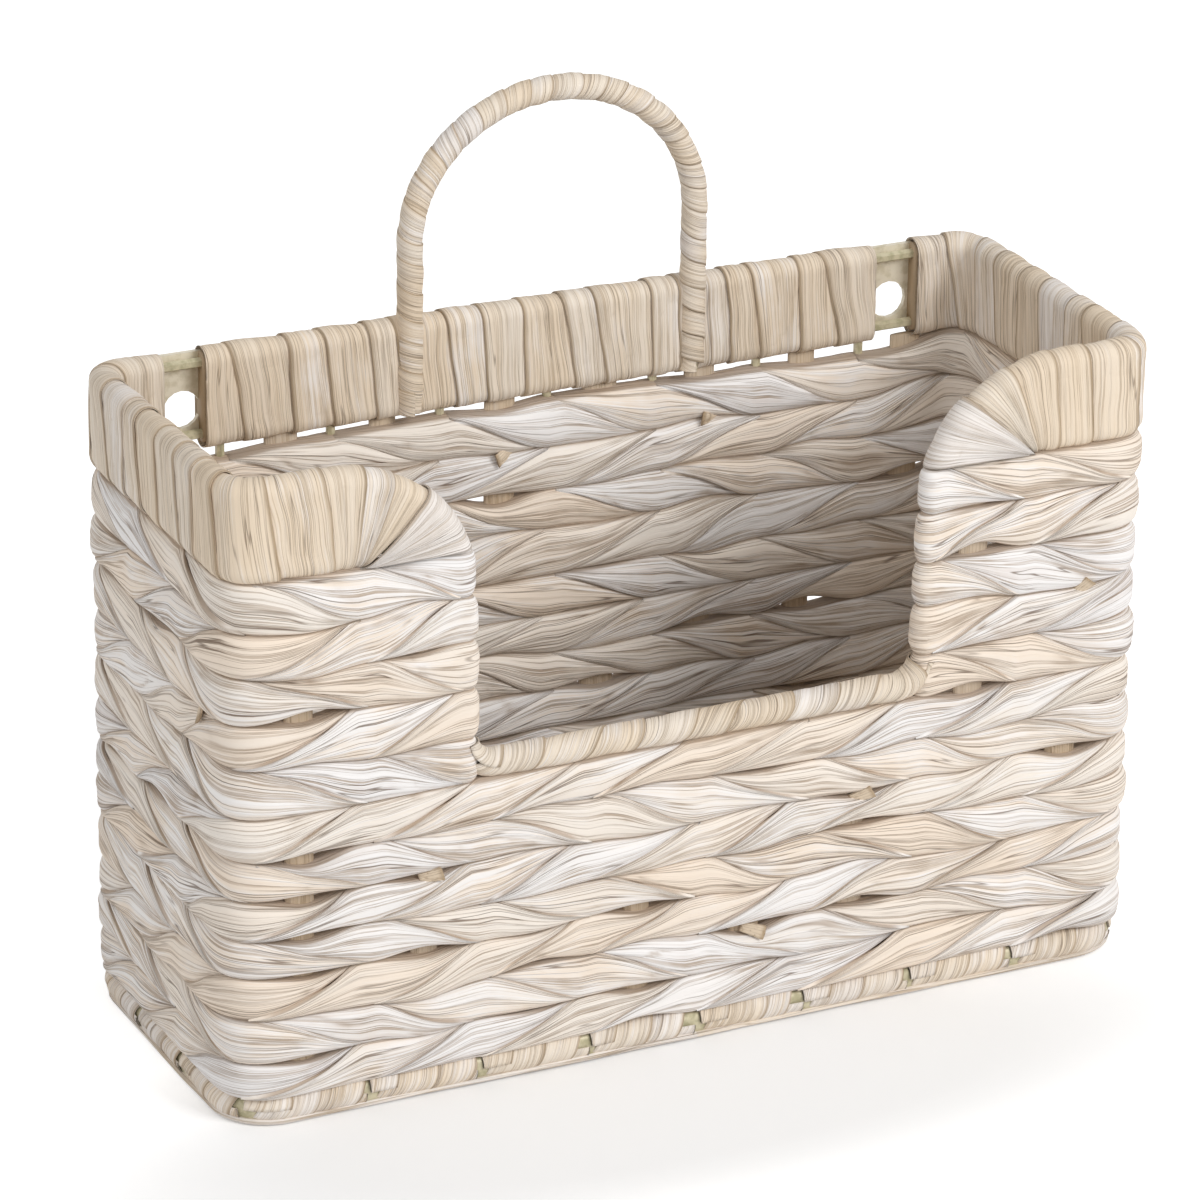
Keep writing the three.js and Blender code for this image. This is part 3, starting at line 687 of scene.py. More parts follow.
def wind(piece, rng, route, start, end, radius, pitch, width, wash=(0.0, 1.0)):
    """One leaf strip wound round a tube-like route, each turn lapping the next."""
    turns = max(1, round((end - start) / pitch))
    pitch = (end - start) / turns
    steps = turns * TURN_STEPS
    turn = np.linspace(0, turns, steps)[:, None]
    phi = 2 * math.pi * turn
    shift = pitch * WANDER_SHARE * wander(rng, steps, 2 * turns)
    wide = width * (1 + WANDER_SHARE * wander(rng, steps, 2 * turns))
    s = np.clip(start + pitch * turn + shift + (ACROSS - 0.5) * wide, start, end)
    height, crease = strip_relief(rng, steps, turns, WIND_LIFT)
    at, first, second = route(s)
    distance = (radius - WIND_SINK + height)[..., None]
    points = at + distance * (np.cos(phi)[..., None] * first + np.sin(phi)[..., None] * second)
    warmth = stepped(rng.random(turns + 1), turn)
    washed = stepped(rng.uniform(*wash, turns + 1), turn)
    tone = tone_of(crease, warmth, washed, RAISED_EDGE)
    girths = 2 * math.pi * radius * turns
    piece.add(points, girths, width * 2, tone, False, turns, tuple(rng.uniform(0, 9, 2)))


def winding(material, name, route, length, end, radius, pitch, width):
    """One strip wound from near one end of a route to near the other, in place of a CAD wrap."""
    piece = Piece(f"{name}_winding")
    wind(piece, random_for(name), route, end, length - end, radius, pitch, width)
    piece.build(material, [f"{name}_wrap"], WIND_CELL_ASPECT)


# Rim: strips laid slanting round the band, fanned over the shoulders

BAND_STEPS = 72
BAND_GIRTH = 0.09
BAND_PITCH = 0.0170
BAND_SPIRAL = 0.0075
BAND_WANDER = 0.0005
BAND_WANDERS = 7
BAND_LEAN = 0.0022
BAND_LIFT = 0.0012
BAND_SINK = 0.0006
BAND_TAPER_SHARE = 0.25
LEFT_LAP_SHARES = (0.1, 0.35)
RIGHT_LAP_SHARES = (0.98, 1.35)
BAND_WARMTHS = (0.35, 1.0)
FAN_REACH = 0.0125
FAN_POWER = 4.9
UNDER_STEP = 0.003
UNDER_SIDES = 40
UNDER_SINK = 0.0008
# Warmth, wash and tuck of the under-layer; with its full crease these paint it dark as shade
UNDER_SHADE_TONES = (0.8, 0.0, 0.9)
PLATE_LAPS = {"right": (0.0014, 0.0003), "left": (0.0003, 0.0032)}
BROAD_SHARE = 0.62
BROAD_LAP = 0.003
BROAD_LIFT = 0.0011
BROAD_TONES = (0.1, 1.0)
BAND_CELL_ASPECT = 2.2


def band_frame(f):
    """Bottom and top edge points and outward normals of the band at distances from the front's middle.

    Past the shoulder the top edge runs down the curve and the bottom edge slows down, so strips fan."""
    folded = np.where(f > WALL_LENGTH / 2, WALL_LENGTH - f, f)
    mirror = np.where(f > WALL_LENGTH / 2, -1.0, 1.0)
    bend = np.clip((SHOULDER_X - folded) / SHOULDER, 0, SHOULDER_BEND)
    fan = FAN_REACH * (1 - (1 - bend / SHOULDER_BEND) ** FAN_POWER)
    at, out = wall(np.where(bend > 0, SHOULDER_X - fan, folded))
    side = np.stack([mirror, 1 + 0 * f, 1 + 0 * f], -1)
    at = at * side
    low = at + UP * BAND_BOTTOM
    arc_x = mirror * (SHOULDER_X - SHOULDER * np.sin(bend))
    arc = np.stack([arc_x, 0 * f - HALF_DEPTH, SHOULDER_Z + SHOULDER * np.cos(bend)], -1)
    high = np.where((bend > 0)[..., None], arc, at + UP * RIM_TOP)
    return low, high, out * side


def band_section(c, height):
    """A rounded flat section: offset out, height and the outward direction at shares round it."""
    radius = BAND_HALF
    flat = height - 2 * radius
    half_turn = math.pi * radius
    d = np.mod(c, 1.0) * (2 * flat + 2 * half_turn)
    legs = [d < flat, d < flat + half_turn, d < 2 * flat + half_turn, d >= 2 * flat + half_turn]
    top = (d - flat) / radius
    bottom = (d - 2 * flat - half_turn) / radius
    normal_u = np.select(legs, [1 + 0 * d, np.cos(top), -1 + 0 * d, -np.cos(bottom)])
    normal_v = np.select(legs, [0 * d, np.sin(top), 0 * d, -np.sin(bottom)])
    spine = np.select(legs, [d, flat + 0 * d, 2 * flat + half_turn - d, 0 * d]) + radius
    return radius * normal_u, spine + radius * normal_v, normal_u, normal_v


def band_points(f, c, grow):
    """Points of the band's surface at distances f and shares c round its section, grown outwards."""
    low, high, out = band_frame(f)
    axis = high - low
    height = np.linalg.norm(axis, axis=-1)
    axis = axis / height[..., None]
    u, v, normal_u, normal_v = band_section(c + 0 * f, height)
    return low + out * (u + normal_u * grow)[..., None] + axis * (v + normal_v * grow)[..., None]


def band_strip(piece, rng, left, right, limits, lean, lift, warmth, wash, side=1):
    """One leaf strip laid slanting round the band between two distances.

    side says which of its long edges lies on top of its neighbour."""
    share = np.linspace(0, 1, BAND_STEPS)[:, None]
    c = share - math.pi * BAND_HALF / 4 / (BAND_HEIGHT + (math.pi - 2) * BAND_HALF)
    level = band_section(c, BAND_HEIGHT)[1] / BAND_HEIGHT - 0.5
    wide = (right - left) * (1 + rng.uniform(-BAND_TAPER_SHARE, BAND_TAPER_SHARE) * level)
    slant = BAND_SPIRAL * (0.5 - share) + lean * level + BAND_WANDER * wander(rng, BAND_STEPS, BAND_WANDERS)
    f = np.clip((left + right) / 2 + slant + side * (ACROSS - 0.5) * wide, *limits)
    relief, crease = strip_relief(rng, BAND_STEPS, 2, BAND_LIFT)
    points = band_points(f, c, relief + lift - BAND_SINK)
    tone = tone_of(crease, warmth, wash, RAISED_EDGE)
    piece.add(points, BAND_GIRTH, (right - left) * 2, tone, False, 1, tuple(rng.uniform(0, 9, 2)))


def band_under_layer(piece, start, end):
    """The layer that shows where strips part, darkened all over with painted shade."""
    f = np.linspace(start, end, round((end - start) / UNDER_STEP))[:, None]
    c = np.linspace(0, 1, UNDER_SIDES, endpoint=False)[None, :]
    points = band_points(f + 0 * c, c, -UNDER_SINK)
    tone = tone_of(np.ones(points.shape[:2]), *UNDER_SHADE_TONES)
    piece.add(points, end - start, BAND_GIRTH, tone, closed=False, chunks=3)


def band_strips(piece, start, end, rng):
    """Upright strips side by side, each lapping the next, over an under-layer."""
    pitch = (end - start) / round((end - start) / BAND_PITCH)
    for edge in np.arange(start, end - pitch / 2, pitch):
        left = edge - pitch * rng.uniform(*LEFT_LAP_SHARES)
        right = edge + pitch * rng.uniform(*RIGHT_LAP_SHARES)
        lean = rng.uniform(-BAND_LEAN, BAND_LEAN)
        warmth = rng.uniform(*BAND_WARMTHS)
        band_strip(piece, rng, left, right, (start, end), lean, 0.0, warmth, rng.random())
    band_under_layer(piece, start, end)


def rim(material):
    """Left, right and back of the band; a broad strip closes it at each shoulder."""
    middle = WALL_LENGTH / 2 - PLATE_X
    tip = SHOULDER_X - SHOULDER * SHOULDER_BEND
    start = SHOULDER_X - SHOULDER * SHOULDER_BEND * BROAD_SHARE
    inner = []
    for name, side in (("right", 1), ("left", -1)):
        rng = random_for(name)
        piece = Piece(f"rim_strips_{name}")
        outer_lap, inner_lap = PLATE_LAPS[name]
        near, far = middle - PLATE_HALF + outer_lap, middle + PLATE_HALF - inner_lap
        stops = [f if side > 0 else WALL_LENGTH - f for f in (tip, start + BROAD_LAP, start, near, far)]
        inner.append(stops[4])
        limits = sorted(stops[:2])
        band_strips(piece, *sorted(stops[2:4]), rng)
        band_strip(piece, rng, *limits, limits, 0.0, BROAD_LIFT, *BROAD_TONES, side)
        piece.build(material, [f"rim_wrap_{name}"], BAND_CELL_ASPECT)
    piece = Piece("rim_strips_back")
    band_strips(piece, *inner, random_for("back"))
    piece.build(material, ["rim_wrap_back"], BAND_CELL_ASPECT)


# Low front

SCOOP_END = 0.002
SCOOP_PITCH = 0.0205
SCOOP_STRIP = 0.029
SCOOP_QUARTER = math.pi / 2 * SCOOP_FILLET
SCOOP_STRAIGHT = 2 * (SCOOP_X - SCOOP_FILLET)
SCOOP_LENGTH = 2 * SCOOP_QUARTER + SCOOP_STRAIGHT


def scoop_route(s):
    """Along the wire of the low front, from the left fillet's start; the fillets bend up at both ends."""
    down = np.clip(s / SCOOP_FILLET, 0, math.pi / 2)
    level = np.clip(s - SCOOP_QUARTER, 0, SCOOP_STRAIGHT)
    up = np.clip((s - SCOOP_QUARTER - SCOOP_STRAIGHT) / SCOOP_FILLET, 0, math.pi / 2)
    x = SCOOP_FILLET * (1 - np.cos(down) + np.sin(up)) + level - SCOOP_X
    z = SCOOP_FILLET * (2 - np.sin(down) - np.cos(up)) + np.maximum(-s, 0) + np.maximum(s - SCOOP_LENGTH, 0)
    heading = down + up - math.pi / 2
    at = np.stack([x, 0 * x - HALF_DEPTH, SCOOP_WIRE_Z + z], -1)
    side = np.stack([-np.sin(heading), 0 * heading, np.cos(heading)], -1)
    return at, np.broadcast_to(FRONT, at.shape), side


def scoop_winding(material):
    winding(material, "scoop", scoop_route, SCOOP_LENGTH, SCOOP_END, SCOOP_RADIUS, SCOOP_PITCH, SCOOP_STRIP)


# Base

BASE_RISE = 0.0007
BASE_GAPS = (0.0002, 0.0016)
BASE_PITCH = 0.0155
BASE_STRIP = 0.022
BASE_WASHES = (0.4, 1.0)
RING_STEPS = 12 * STAKES
CORE_SHARE = 0.84
CORE_GIRTH = 0.03
CORE_TONES = (0.5, 0.5, 0.0)
LIP_OUT = 0.0018
LIP_UP = 0.0016
LIP_HALF_WIDTH = 0.0036
LIP_WANDER = 0.0004
LIP_HALF_THICKNESS = 0.0014
LIP_GIRTH = 0.015
LIP_TONES = (0.5, 0.8, 0.0)
RING_CELL_ASPECT = 6.0


def base_route(s):
    at, out = wall(s, ROUND)
    return at + UP * (BASE_RADIUS + BASE_RISE), out, np.broadcast_to(UP, at.shape)


def base_winding(material):
    """Short windings from stake to stake, with a little of the wire bare between them."""
    rng = random_for("base")
    piece = Piece("base_winding")
    for low, high in zip(PLACES[:-1], PLACES[1:]):
        first, last = rng.uniform(*BASE_GAPS, 2)
        stops = (low + first, high - last)
        wind(piece, rng, base_route, *stops, BASE_RADIUS, BASE_PITCH, BASE_STRIP, BASE_WASHES)
    piece.build(material, ["base_wrap"], WIND_CELL_ASPECT)


def base_core(material):
    """The bare bundle inside the base winding, which shows between its turns."""
    at, out = ring(RING_STEPS)
    radius = BASE_RADIUS * CORE_SHARE
    centre = at + UP * BASE_RADIUS
    points, crease = flat_strand(random_for("core"), centre, out, UP + 0 * out, radius, radius, True)
    piece = Piece("base_core")
    piece.add(points, WALL_LENGTH, CORE_GIRTH, tone_of(0 * crease, *CORE_TONES), chunks=10)
    piece.build(material, ["base_wire"], RING_CELL_ASPECT)


def base_lip(material):
    """The flat edge of the floor's binding, which shows under the base winding."""
    rng = random_for("lip")
    at, out = ring(RING_STEPS)
    centre = at + out * LIP_OUT + UP * LIP_UP
    wide = LIP_HALF_WIDTH + LIP_WANDER * wander(rng, RING_STEPS, 2 * STAKES, True)[:, 0]
    points, crease = flat_strand(rng, centre, UP + 0 * out, out, wide, LIP_HALF_THICKNESS, True)
    piece = Piece("base_lip")
    piece.add(points, WALL_LENGTH, LIP_GIRTH, tone_of(crease, *LIP_TONES), chunks=10)
    piece.build(material, cell_aspect=RING_CELL_ASPECT)


# Handle

handle_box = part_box("handle_wrap")
HANDLE_RADIUS = 0.00515
HANDLE_SWELL_SHARE = 1.05
HANDLE_X = handle_box[1].x - HANDLE_RADIUS * HANDLE_SWELL_SHARE
HANDLE_Y = (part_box("handle_wire")[0].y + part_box("handle_wire")[1].y) / 2
HANDLE_TOP = handle_box[1].z - HANDLE_RADIUS
HANDLE_SHOULDER = 0.285
HANDLE_FOOT = BAND_BOTTOM + TOUCH_GAP
HANDLE_STEPS = 400
HANDLE_STEP = 0.001
HANDLE_END = 0.001
HANDLE_SINK = 0.0005
WIND_RADIUS = HANDLE_RADIUS - HANDLE_SINK
HANDLE_PITCH = 0.0105
HANDLE_STRIP = 0.0150


def handle_path():
    """Places across and up along the middle of the handle, from foot to foot, and the distances there."""
    angle = np.linspace(0, math.pi, HANDLE_STEPS)
    arch = HANDLE_SHOULDER + (HANDLE_TOP - HANDLE_SHOULDER) * np.sin(angle)
    x = np.concatenate([[-HANDLE_X], -HANDLE_X * np.cos(angle), [HANDLE_X]])
    z = np.concatenate([[HANDLE_FOOT], arch, [HANDLE_FOOT]])
    return x, z, np.concatenate([[0], np.cumsum(np.hypot(np.diff(x), np.diff(z)))])


def handle_route(s):
    x, z, distances = handle_path()
    at, behind, ahead = (
        np.stack([np.interp(t, distances, x), 0 * t + HANDLE_Y, np.interp(t, distances, z)], -1)
        for t in (s, s - HANDLE_STEP, s + HANDLE_STEP)
    )
    run = (ahead - behind) / np.linalg.norm(ahead - behind, axis=-1, keepdims=True)
    out = np.broadcast_to(FRONT, at.shape)
    return at, out, np.cross(out, run)


def handle_winding(material):
    length = handle_path()[2][-1]
    winding(material, "handle", handle_route, length, HANDLE_END, WIND_RADIUS, HANDLE_PITCH, HANDLE_STRIP)


# Floor of the basket

FLOOR_STRANDS = 6
FLOOR_STEPS = 160
FLOOR_CAD_HALF = 0.0022
FLOOR_HALF_THICKNESS = 0.0024
FLOOR_GIRTH = 0.045
FLOOR_SHIFTS = (0.37, 0.2)
FLOOR_CELL_ASPECT = 3.0


def floor_strands(material):
    """Flat strands that go over and under the floor wires by turns."""
    first = -(LONG_SPACES - 2) / 2 * LONG_PITCH
    for index in range(FLOOR_STRANDS):
        node = f"floor_strand_{index + 1}"
        low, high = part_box(node)
        rng = random_for("floor", index)
        x = np.linspace(low.x, high.x, FLOOR_STEPS)
        lift = (high.z - low.z) / 2 - FLOOR_CAD_HALF
        up = 1 if index % 2 == 0 else -1
        z = (low.z + high.z) / 2 + up * lift * np.cos((x - first) / LONG_PITCH * math.pi)
        centre = np.stack([x, 0 * x + (low.y + high.y) / 2, z], -1)
        slope = np.gradient(z, x)
        minor = np.stack([-slope, 0 * x, 1 + 0 * x], -1) / np.sqrt(1 + slope ** 2)[:, None]
        wide = (high.y - low.y) / 2
        across = -FRONT + 0 * centre
        points, crease = flat_strand(rng, centre, minor, across, wide, FLOOR_HALF_THICKNESS, False)
        tone = tone_of(crease, rng.random(), rng.random(), 0.0)
        piece = Piece(f"floor_weave_{index + 1}")
        shift = (index * FLOOR_SHIFTS[0], FLOOR_SHIFTS[1])
        piece.add(points, high.x - low.x, FLOOR_GIRTH, tone, closed=False, chunks=3, offset=shift)
        piece.build(material, [node], FLOOR_CELL_ASPECT)


# Materials

# Noises along the fibres: cycles per metre along and across, detail and place
FIBRE_NOISES = {
    "fine": (9.0, 1700.0, 2.0, 1.0),
    "middle": (6.0, 820.0, 2.0, 5.0),
    "broad": (12.0, 140.0, 2.0, 9.0),
    "patch": (34.0, 120.0, 3.0, 13.0),
    "brown": (6.0, 300.0, 2.0, 27.0),
}
BEND_NOISE = (22.0, 60.0, 1.0, 31.0)
BEND = 0.0022
NOISE_PLACE_SHARES = (1.0, 0.7, 1.3)
NOISE_ROUGHNESS = 0.6
# What each colour and the relief hang on, and the span of that sum over which a colour comes in
WARM_WEIGHTS, WARM_SPAN = {"warmth": 0.6, "broad": 0.6, "middle": 0.4}, (0.45, 1.15)
GREY_WEIGHTS, GREY_SPAN = {"wash": 0.7, "warmth": -0.5, "broad": 0.5}, (0.42, 0.85)
WASH_WEIGHTS, WASH_SPAN = {"wash": 0.35, "patch": 0.6, "middle": 0.4, "fine": 0.5}, (1.22, 1.5)
RELIEF_WEIGHTS = {"middle": 1.0, "fine": 0.6, "lines": -0.5, "threads": -0.5}
GREY_SHARE = 0.6
WHITE_SHARE = 0.85
LINE_WIDTH, LINE_SPAN, LINE_SHARES = 0.05, (0.35, 0.62), (0.85, 0.45)
THREAD_WIDTH, THREAD_SPAN, THREAD_SHARES = 0.018, (0.4, 0.6), (0.2, 0.8)
# Painted shade: how far the crease and tuck tones darken the fibre towards its line colour
SHADE_START_SHARE = 0.3
CREASE_PAINTED_SHADE = 0.7
TUCK_PAINTED_SHADE = 0.85
FIBRE_ROUGHNESS = (0.68, 0.85)
FIBRE_SPECULAR = 0.3
FIBRE_BUMP = (0.8, 0.0006)
METALLIC = 0.1
MOTTLE_SCALE = 260.0
MOTTLE_DETAIL = 4.0
SPECKLE_SPAN = (0.42, 0.66)
ROUGHNESS_SPREAD = (-0.1, 0.15)
METAL_BUMP = (0.25, 0.0002)


def empty_tree(holder):
    """The node tree of a new material or world, without its nodes."""
    holder.use_nodes = True
    holder.node_tree.nodes.clear()
    return holder.node_tree


def node(tree, kind, inputs, output=0, **settings):
    """Makes a node with its settings and its inputs, linked or plain, and gives one of its outputs."""
    made = tree.nodes.new("ShaderNode" + kind)
    for name, value in settings.items():
        setattr(made, name, value)
    for key, value in inputs.items():
        socket = made.inputs[key]
        if isinstance(value, bpy.types.NodeSocket):
            tree.links.new(value, socket)
        else:
            socket.default_value = (*value, 1.0) if socket.type == "RGBA" else value
    return made.outputs[output] if made.outputs else None


def math_node(tree, operation, *values):
    return node(tree, "Math", dict(enumerate(values)), operation=operation)


def weighted(tree, sockets, weights):
    """The sum of some of the named sockets, each times its weight."""
    total = None
    for name, weight in weights.items():
        part = math_node(tree, "MULTIPLY", sockets[name], weight)
        total = part if total is None else math_node(tree, "ADD", total, part)
    return total


def mix_colour(tree, factor, a, b):
    return node(tree, "Mix", {0: factor, 6: a, 7: b}, 2, data_type="RGBA")


def ramp(tree, factor, low, high, start=0.0, end=1.0):
    """Goes smoothly from start at low to end at high."""
    inputs = {"Value": factor, "From Min": low, "From Max": high, "To Min": start, "To Max": end}
    return node(tree, "MapRange", inputs, interpolation_type="SMOOTHSTEP")


def bump(tree, height, strength, distance):
    return node(tree, "Bump", {"Height": height, "Strength": strength, "Distance": distance})


def fibre_noise(tree, place, along, across, detail, shift):
    """Noise drawn out along the fibres: cycles per metre along and across."""
    shifts = [shift * share for share in NOISE_PLACE_SHARES]
    scaled = node(tree, "Mapping", {"Vector": place, "Scale": (along, across, 1.0), "Location": shifts})
    inputs = {"Vector": scaled, "Scale": 1.0, "Detail": detail, "Roughness": NOISE_ROUGHNESS}
    return node(tree, "TexNoise", inputs, "Fac")


def fibre_place(tree):
    """The fibre coordinates, bent a little so that the fibres waver."""
    place = node(tree, "UVMap", {}, uv_map="fibre")
    x, y, _ = node(tree, "SeparateXYZ", {"Vector": place}).node.outputs
    slow = fibre_noise(tree, place, *BEND_NOISE)
    bend = math_node(tree, "MULTIPLY", math_node(tree, "SUBTRACT", slow, 0.5), BEND)
    return node(tree, "CombineXYZ", {"X": x, "Y": math_node(tree, "ADD", y, bend)})


def fibre_sockets(tree):
    """The tones of the mesh and the noises along the fibres, by name."""
    tone = node(tree, "Attribute", {}, "Color", attribute_name="tone")
    parts = node(tree, "SeparateColor", {"Color": tone}).node.outputs
    sockets = dict(zip(("crease", "warmth", "wash"), parts), tuck=tone.node.outputs["Alpha"])
    place = fibre_place(tree)
    for name, noise in FIBRE_NOISES.items():
        sockets[name] = fibre_noise(tree, place, *noise)
    return sockets


def thin_lines(tree, noise, width, patches, span, shares):
    """Lines along the middle values of one noise, whose strength goes with another."""
    away = math_node(tree, "ABSOLUTE", math_node(tree, "SUBTRACT", noise, 0.5))
    strength = ramp(tree, patches, *span, *shares)
    return math_node(tree, "MULTIPLY", ramp(tree, away, 0.0, width, 1.0, 0.0), strength)


def fibre_body(tree, sockets, washed_share, cream, tan, white, grey):
    """Cream to tan with grey patches under a pale wash: the colour, and how washed it is."""
    warm = ramp(tree, weighted(tree, sockets, WARM_WEIGHTS), *WARM_SPAN)
    dull = ramp(tree, weighted(tree, sockets, GREY_WEIGHTS), *GREY_SPAN, 0.0, GREY_SHARE)
    pale = weighted(tree, sockets, WASH_WEIGHTS)
    washed = ramp(tree, pale, *(level - washed_share for level in WASH_SPAN))
    body = mix_colour(tree, dull, mix_colour(tree, warm, cream, tan), grey)
    return mix_colour(tree, math_node(tree, "MULTIPLY", washed, WHITE_SHARE), body, white), washed


def fibre_material(name, washed_share, line_share, line, brown, **body_colours):
    """Dried leaf fibre, whitewashed, with fine lines and brown threads, and painted shade in its creases
    and where it tucks under.
    """
    material = bpy.data.materials.new(name)
    tree = empty_tree(material)
    sockets = fibre_sockets(tree)
    body, washed = fibre_body(tree, sockets, washed_share, **body_colours)
    line_shares = [share * line_share for share in LINE_SHARES]
    thread_shares = [share * line_share for share in THREAD_SHARES]
    lines = thin_lines(tree, sockets["middle"], LINE_WIDTH, sockets["patch"], LINE_SPAN, line_shares)
    threads = thin_lines(tree, sockets["brown"], THREAD_WIDTH, sockets["broad"], THREAD_SPAN, thread_shares)
    body = mix_colour(tree, threads, mix_colour(tree, lines, body, line), brown)
    # Painted shade: the line colour mixed in at creases, seams and tucked or lapped edges
    for tone, shade in (("crease", CREASE_PAINTED_SHADE), ("tuck", TUCK_PAINTED_SHADE)):
        body = mix_colour(tree, ramp(tree, sockets[tone], SHADE_START_SHARE, 1.0, 0.0, shade), body, line)
    sockets.update(lines=lines, threads=threads)
    shader = node(tree, "BsdfPrincipled", {
        "Base Color": body,
        "Roughness": ramp(tree, washed, 0.0, 1.0, *FIBRE_ROUGHNESS),
        "Specular IOR Level": FIBRE_SPECULAR,
        "Normal": bump(tree, weighted(tree, sockets, RELIEF_WEIGHTS), *FIBRE_BUMP),
    })
    node(tree, "OutputMaterial", {"Surface": shader})
    return material


def metal_material(name, light, dark, roughness):
    """Lacquered metal with fine dark speckles."""
    material = bpy.data.materials.new(name)
    tree = empty_tree(material)
    place = node(tree, "TexCoord", {}, "Object")
    inputs = {"Vector": place, "Scale": MOTTLE_SCALE, "Detail": MOTTLE_DETAIL}
    mottle = node(tree, "TexNoise", inputs, "Fac")
    speckle = ramp(tree, mottle, *SPECKLE_SPAN)
    shader = node(tree, "BsdfPrincipled", {
        "Base Color": mix_colour(tree, speckle, light, dark),
        "Metallic": METALLIC,
        "Roughness": ramp(tree, speckle, 0.0, 1.0, *(roughness + spread for spread in ROUGHNESS_SPREAD)),
        "Normal": bump(tree, mottle, *METAL_BUMP),
    })
    node(tree, "OutputMaterial", {"Surface": shader})
    return material


def dress_metal(wire, plate):
    """Gives the frame's own meshes their metal: plates, stakes and wires."""
    for name, piece in frame["nodes"].items():
        metal = plate if name.startswith("hanging_plate") else wire
        if metal is plate or "stake" in name or name.endswith("_wire"):
            piece.data.materials.clear()
            piece.data.materials.append(metal)


# Stage, light and camera

FLOOR_REACH = 6.0
FLOOR_COLOUR = (0.9, 0.9, 0.9)
# The floor's glow is turned down in an oval in front of the basket, a painted dimming there that lets the
# basket's shadow show.
DIM_SHIFT = (0.03, 0.33, 0)
DIM_SCALE = (1, 3, 1)
GLOW_REACH = (0.13, 0.36)
GLOWS = (0.08, 0.55)
WORLD_LIGHT = 0.66
LAMP_TARGET = (0, 0, 0.15)
# Place, size and power of each lamp
LAMPS = {"key": ((1.1, -2.1, 1.75), 1.2, 40), "fill": ((-2.2, -0.9, 1.5), 1.8, 10)}
CAMERA_PLACE = (-0.9324, -1.8741, 1.0283)
CAMERA_TARGET = (-0.00837, 0.0, 0.15477)
CAMERA_ROLL = math.radians(0.79)
SENSOR_WIDTH = 36.0
FOCAL_LENGTH = 179.44


def seen_rays(tree):
    """1 for the rays that show the background: to the camera, in metal and through glass."""
    path = node(tree, "LightPath", {}).node.outputs
    seen = math_node(tree, "MAXIMUM", path["Is Camera Ray"], path["Is Glossy Ray"])
    return math_node(tree, "MAXIMUM", seen, path["Is Transmission Ray"])


def floor_material():
    material = bpy.data.materials.new("pale_floor")
    tree = empty_tree(material)
    place = node(tree, "TexCoord", {}, "Object")
    place = node(tree, "Mapping", {"Vector": place, "Location": DIM_SHIFT, "Scale": DIM_SCALE})
    away = node(tree, "VectorMath", {0: place}, "Value", operation="LENGTH")
    strength = math_node(tree, "MULTIPLY", seen_rays(tree), ramp(tree, away, *GLOW_REACH, *GLOWS))
    glow = node(tree, "Emission", {"Strength": strength})
    diffuse = node(tree, "BsdfDiffuse", {"Color": FLOOR_COLOUR})
    node(tree, "OutputMaterial", {"Surface": node(tree, "AddShader", {0: diffuse, 1: glow})})
    return material


def floor():
    mesh = bpy.data.meshes.new("floor")
    corners = [(x * FLOOR_REACH, y * FLOOR_REACH, 0) for x, y in ((-1, -1), (1, -1), (1, 1), (-1, 1))]
    mesh.from_pydata(corners, [], [(0, 1, 2, 3)])
    mesh.materials.append(floor_material())
    made = bpy.data.objects.new("floor", mesh)
    bpy.context.collection.objects.link(made)


def world():
    made = bpy.data.worlds.new("studio")
    bpy.context.scene.world = made
    tree = empty_tree(made)
    back = node(tree, "Background", {"Strength": ramp(tree, seen_rays(tree), 0.0, 1.0, WORLD_LIGHT, 1.0)})
    node(tree, "OutputWorld", {"Surface": back})


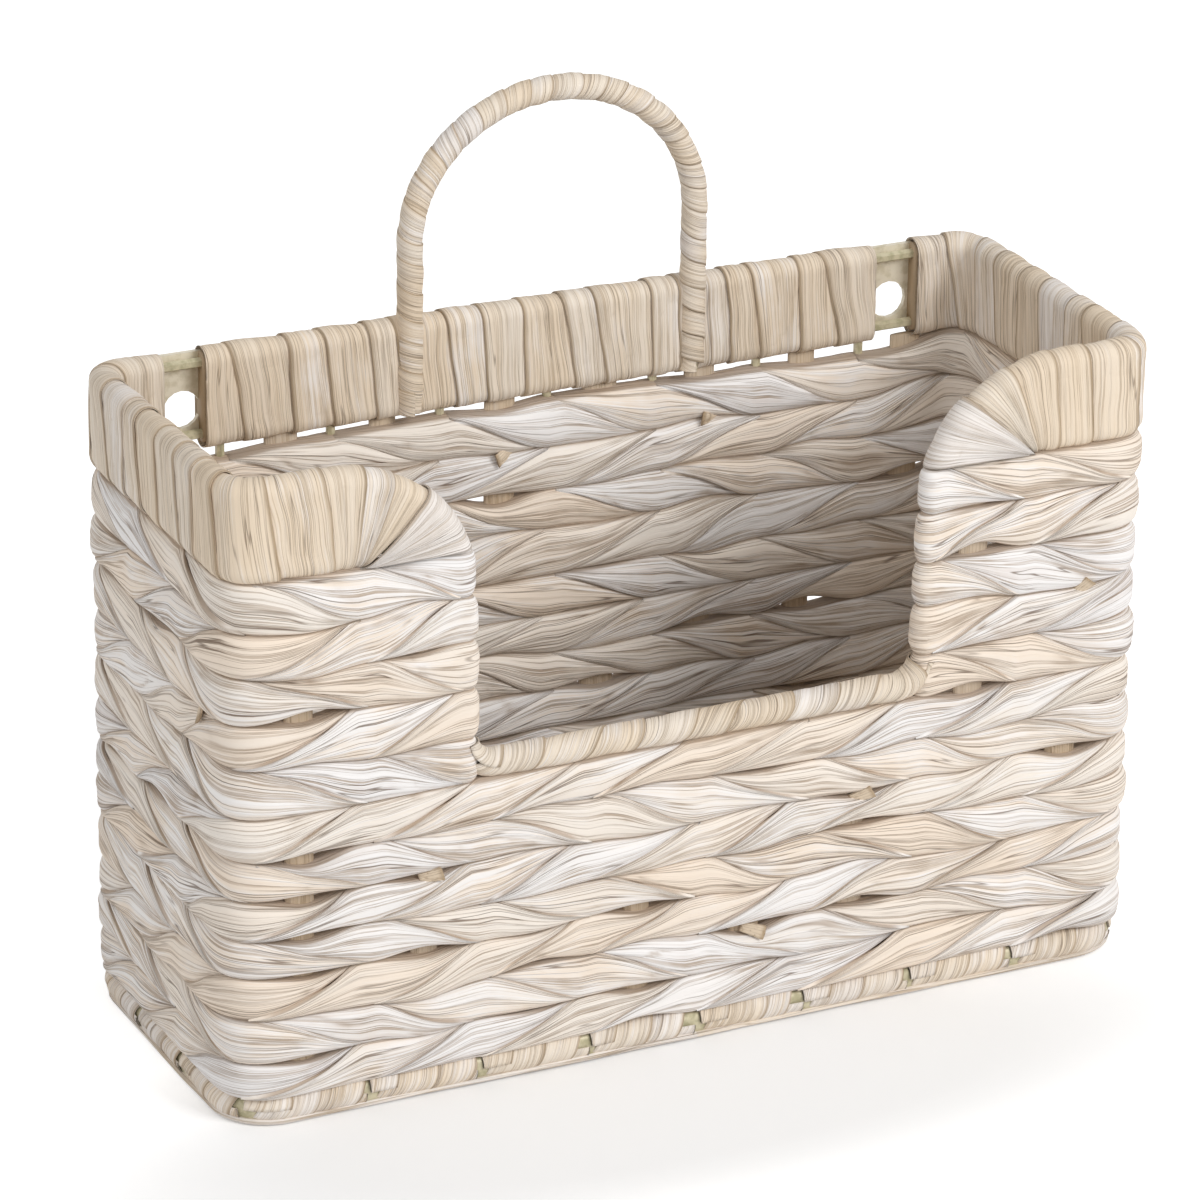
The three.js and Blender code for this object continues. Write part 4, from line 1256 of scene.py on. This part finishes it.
def lamps():
    for name, (place, size, power) in LAMPS.items():
        lamp = bpy.data.lights.new(name, "AREA")
        lamp.size = size
        lamp.energy = power
        made = bpy.data.objects.new(name, lamp)
        made.location = place
        made.rotation_euler = (Vector(LAMP_TARGET) - Vector(place)).to_track_quat("-Z", "Y").to_euler()
        bpy.context.collection.objects.link(made)


def camera():
    """The photograph's view, solved from the basket's own edges."""
    place = Vector(CAMERA_PLACE)
    ahead = (Vector(CAMERA_TARGET) - place).normalized()
    right = ahead.cross(Vector((0, 0, 1))).normalized()
    up = right.cross(ahead)
    level = math.cos(CAMERA_ROLL) * right + math.sin(CAMERA_ROLL) * up
    upright = -math.sin(CAMERA_ROLL) * right + math.cos(CAMERA_ROLL) * up
    lens = bpy.data.cameras.new("camera")
    lens.sensor_width = SENSOR_WIDTH
    lens.lens = FOCAL_LENGTH
    made = bpy.data.objects.new("camera", lens)
    made.matrix_world = Matrix.Translation(place) @ Matrix((level, upright, -ahead)).transposed().to_4x4()
    bpy.context.collection.objects.link(made)
    bpy.context.scene.camera = made


camera()
woven = fibre_material(
    "woven_fibre", washed_share=0.38, line_share=1.0,
    cream=(0.90, 0.83, 0.75), tan=(0.89, 0.76, 0.63), white=(0.94, 0.92, 0.91),
    grey=(0.70, 0.65, 0.65), line=(0.42, 0.31, 0.22), brown=(0.17, 0.11, 0.07))
leaf = fibre_material(
    "leaf_strip", washed_share=0.32, line_share=0.75,
    cream=(0.85, 0.76, 0.65), tan=(0.81, 0.67, 0.51), white=(0.92, 0.87, 0.83),
    grey=(0.72, 0.65, 0.61), line=(0.44, 0.32, 0.20), brown=(0.17, 0.11, 0.07))
wire = metal_material("olive_wire", light=(0.64, 0.58, 0.40), dark=(0.46, 0.42, 0.26), roughness=0.5)
plate = metal_material("olive_plate", light=(0.84, 0.77, 0.62), dark=(0.68, 0.61, 0.45), roughness=0.45)
weave(woven)
warp_strips(leaf)
cut_ends(leaf)
rim(leaf)
scoop_winding(leaf)
base_winding(leaf)
base_core(wire)
base_lip(leaf)
handle_winding(leaf)
floor_strands(woven)
dress_metal(wire, plate)
floor()
world()
lamps()
bpy.context.scene.view_settings.view_transform = "Standard"
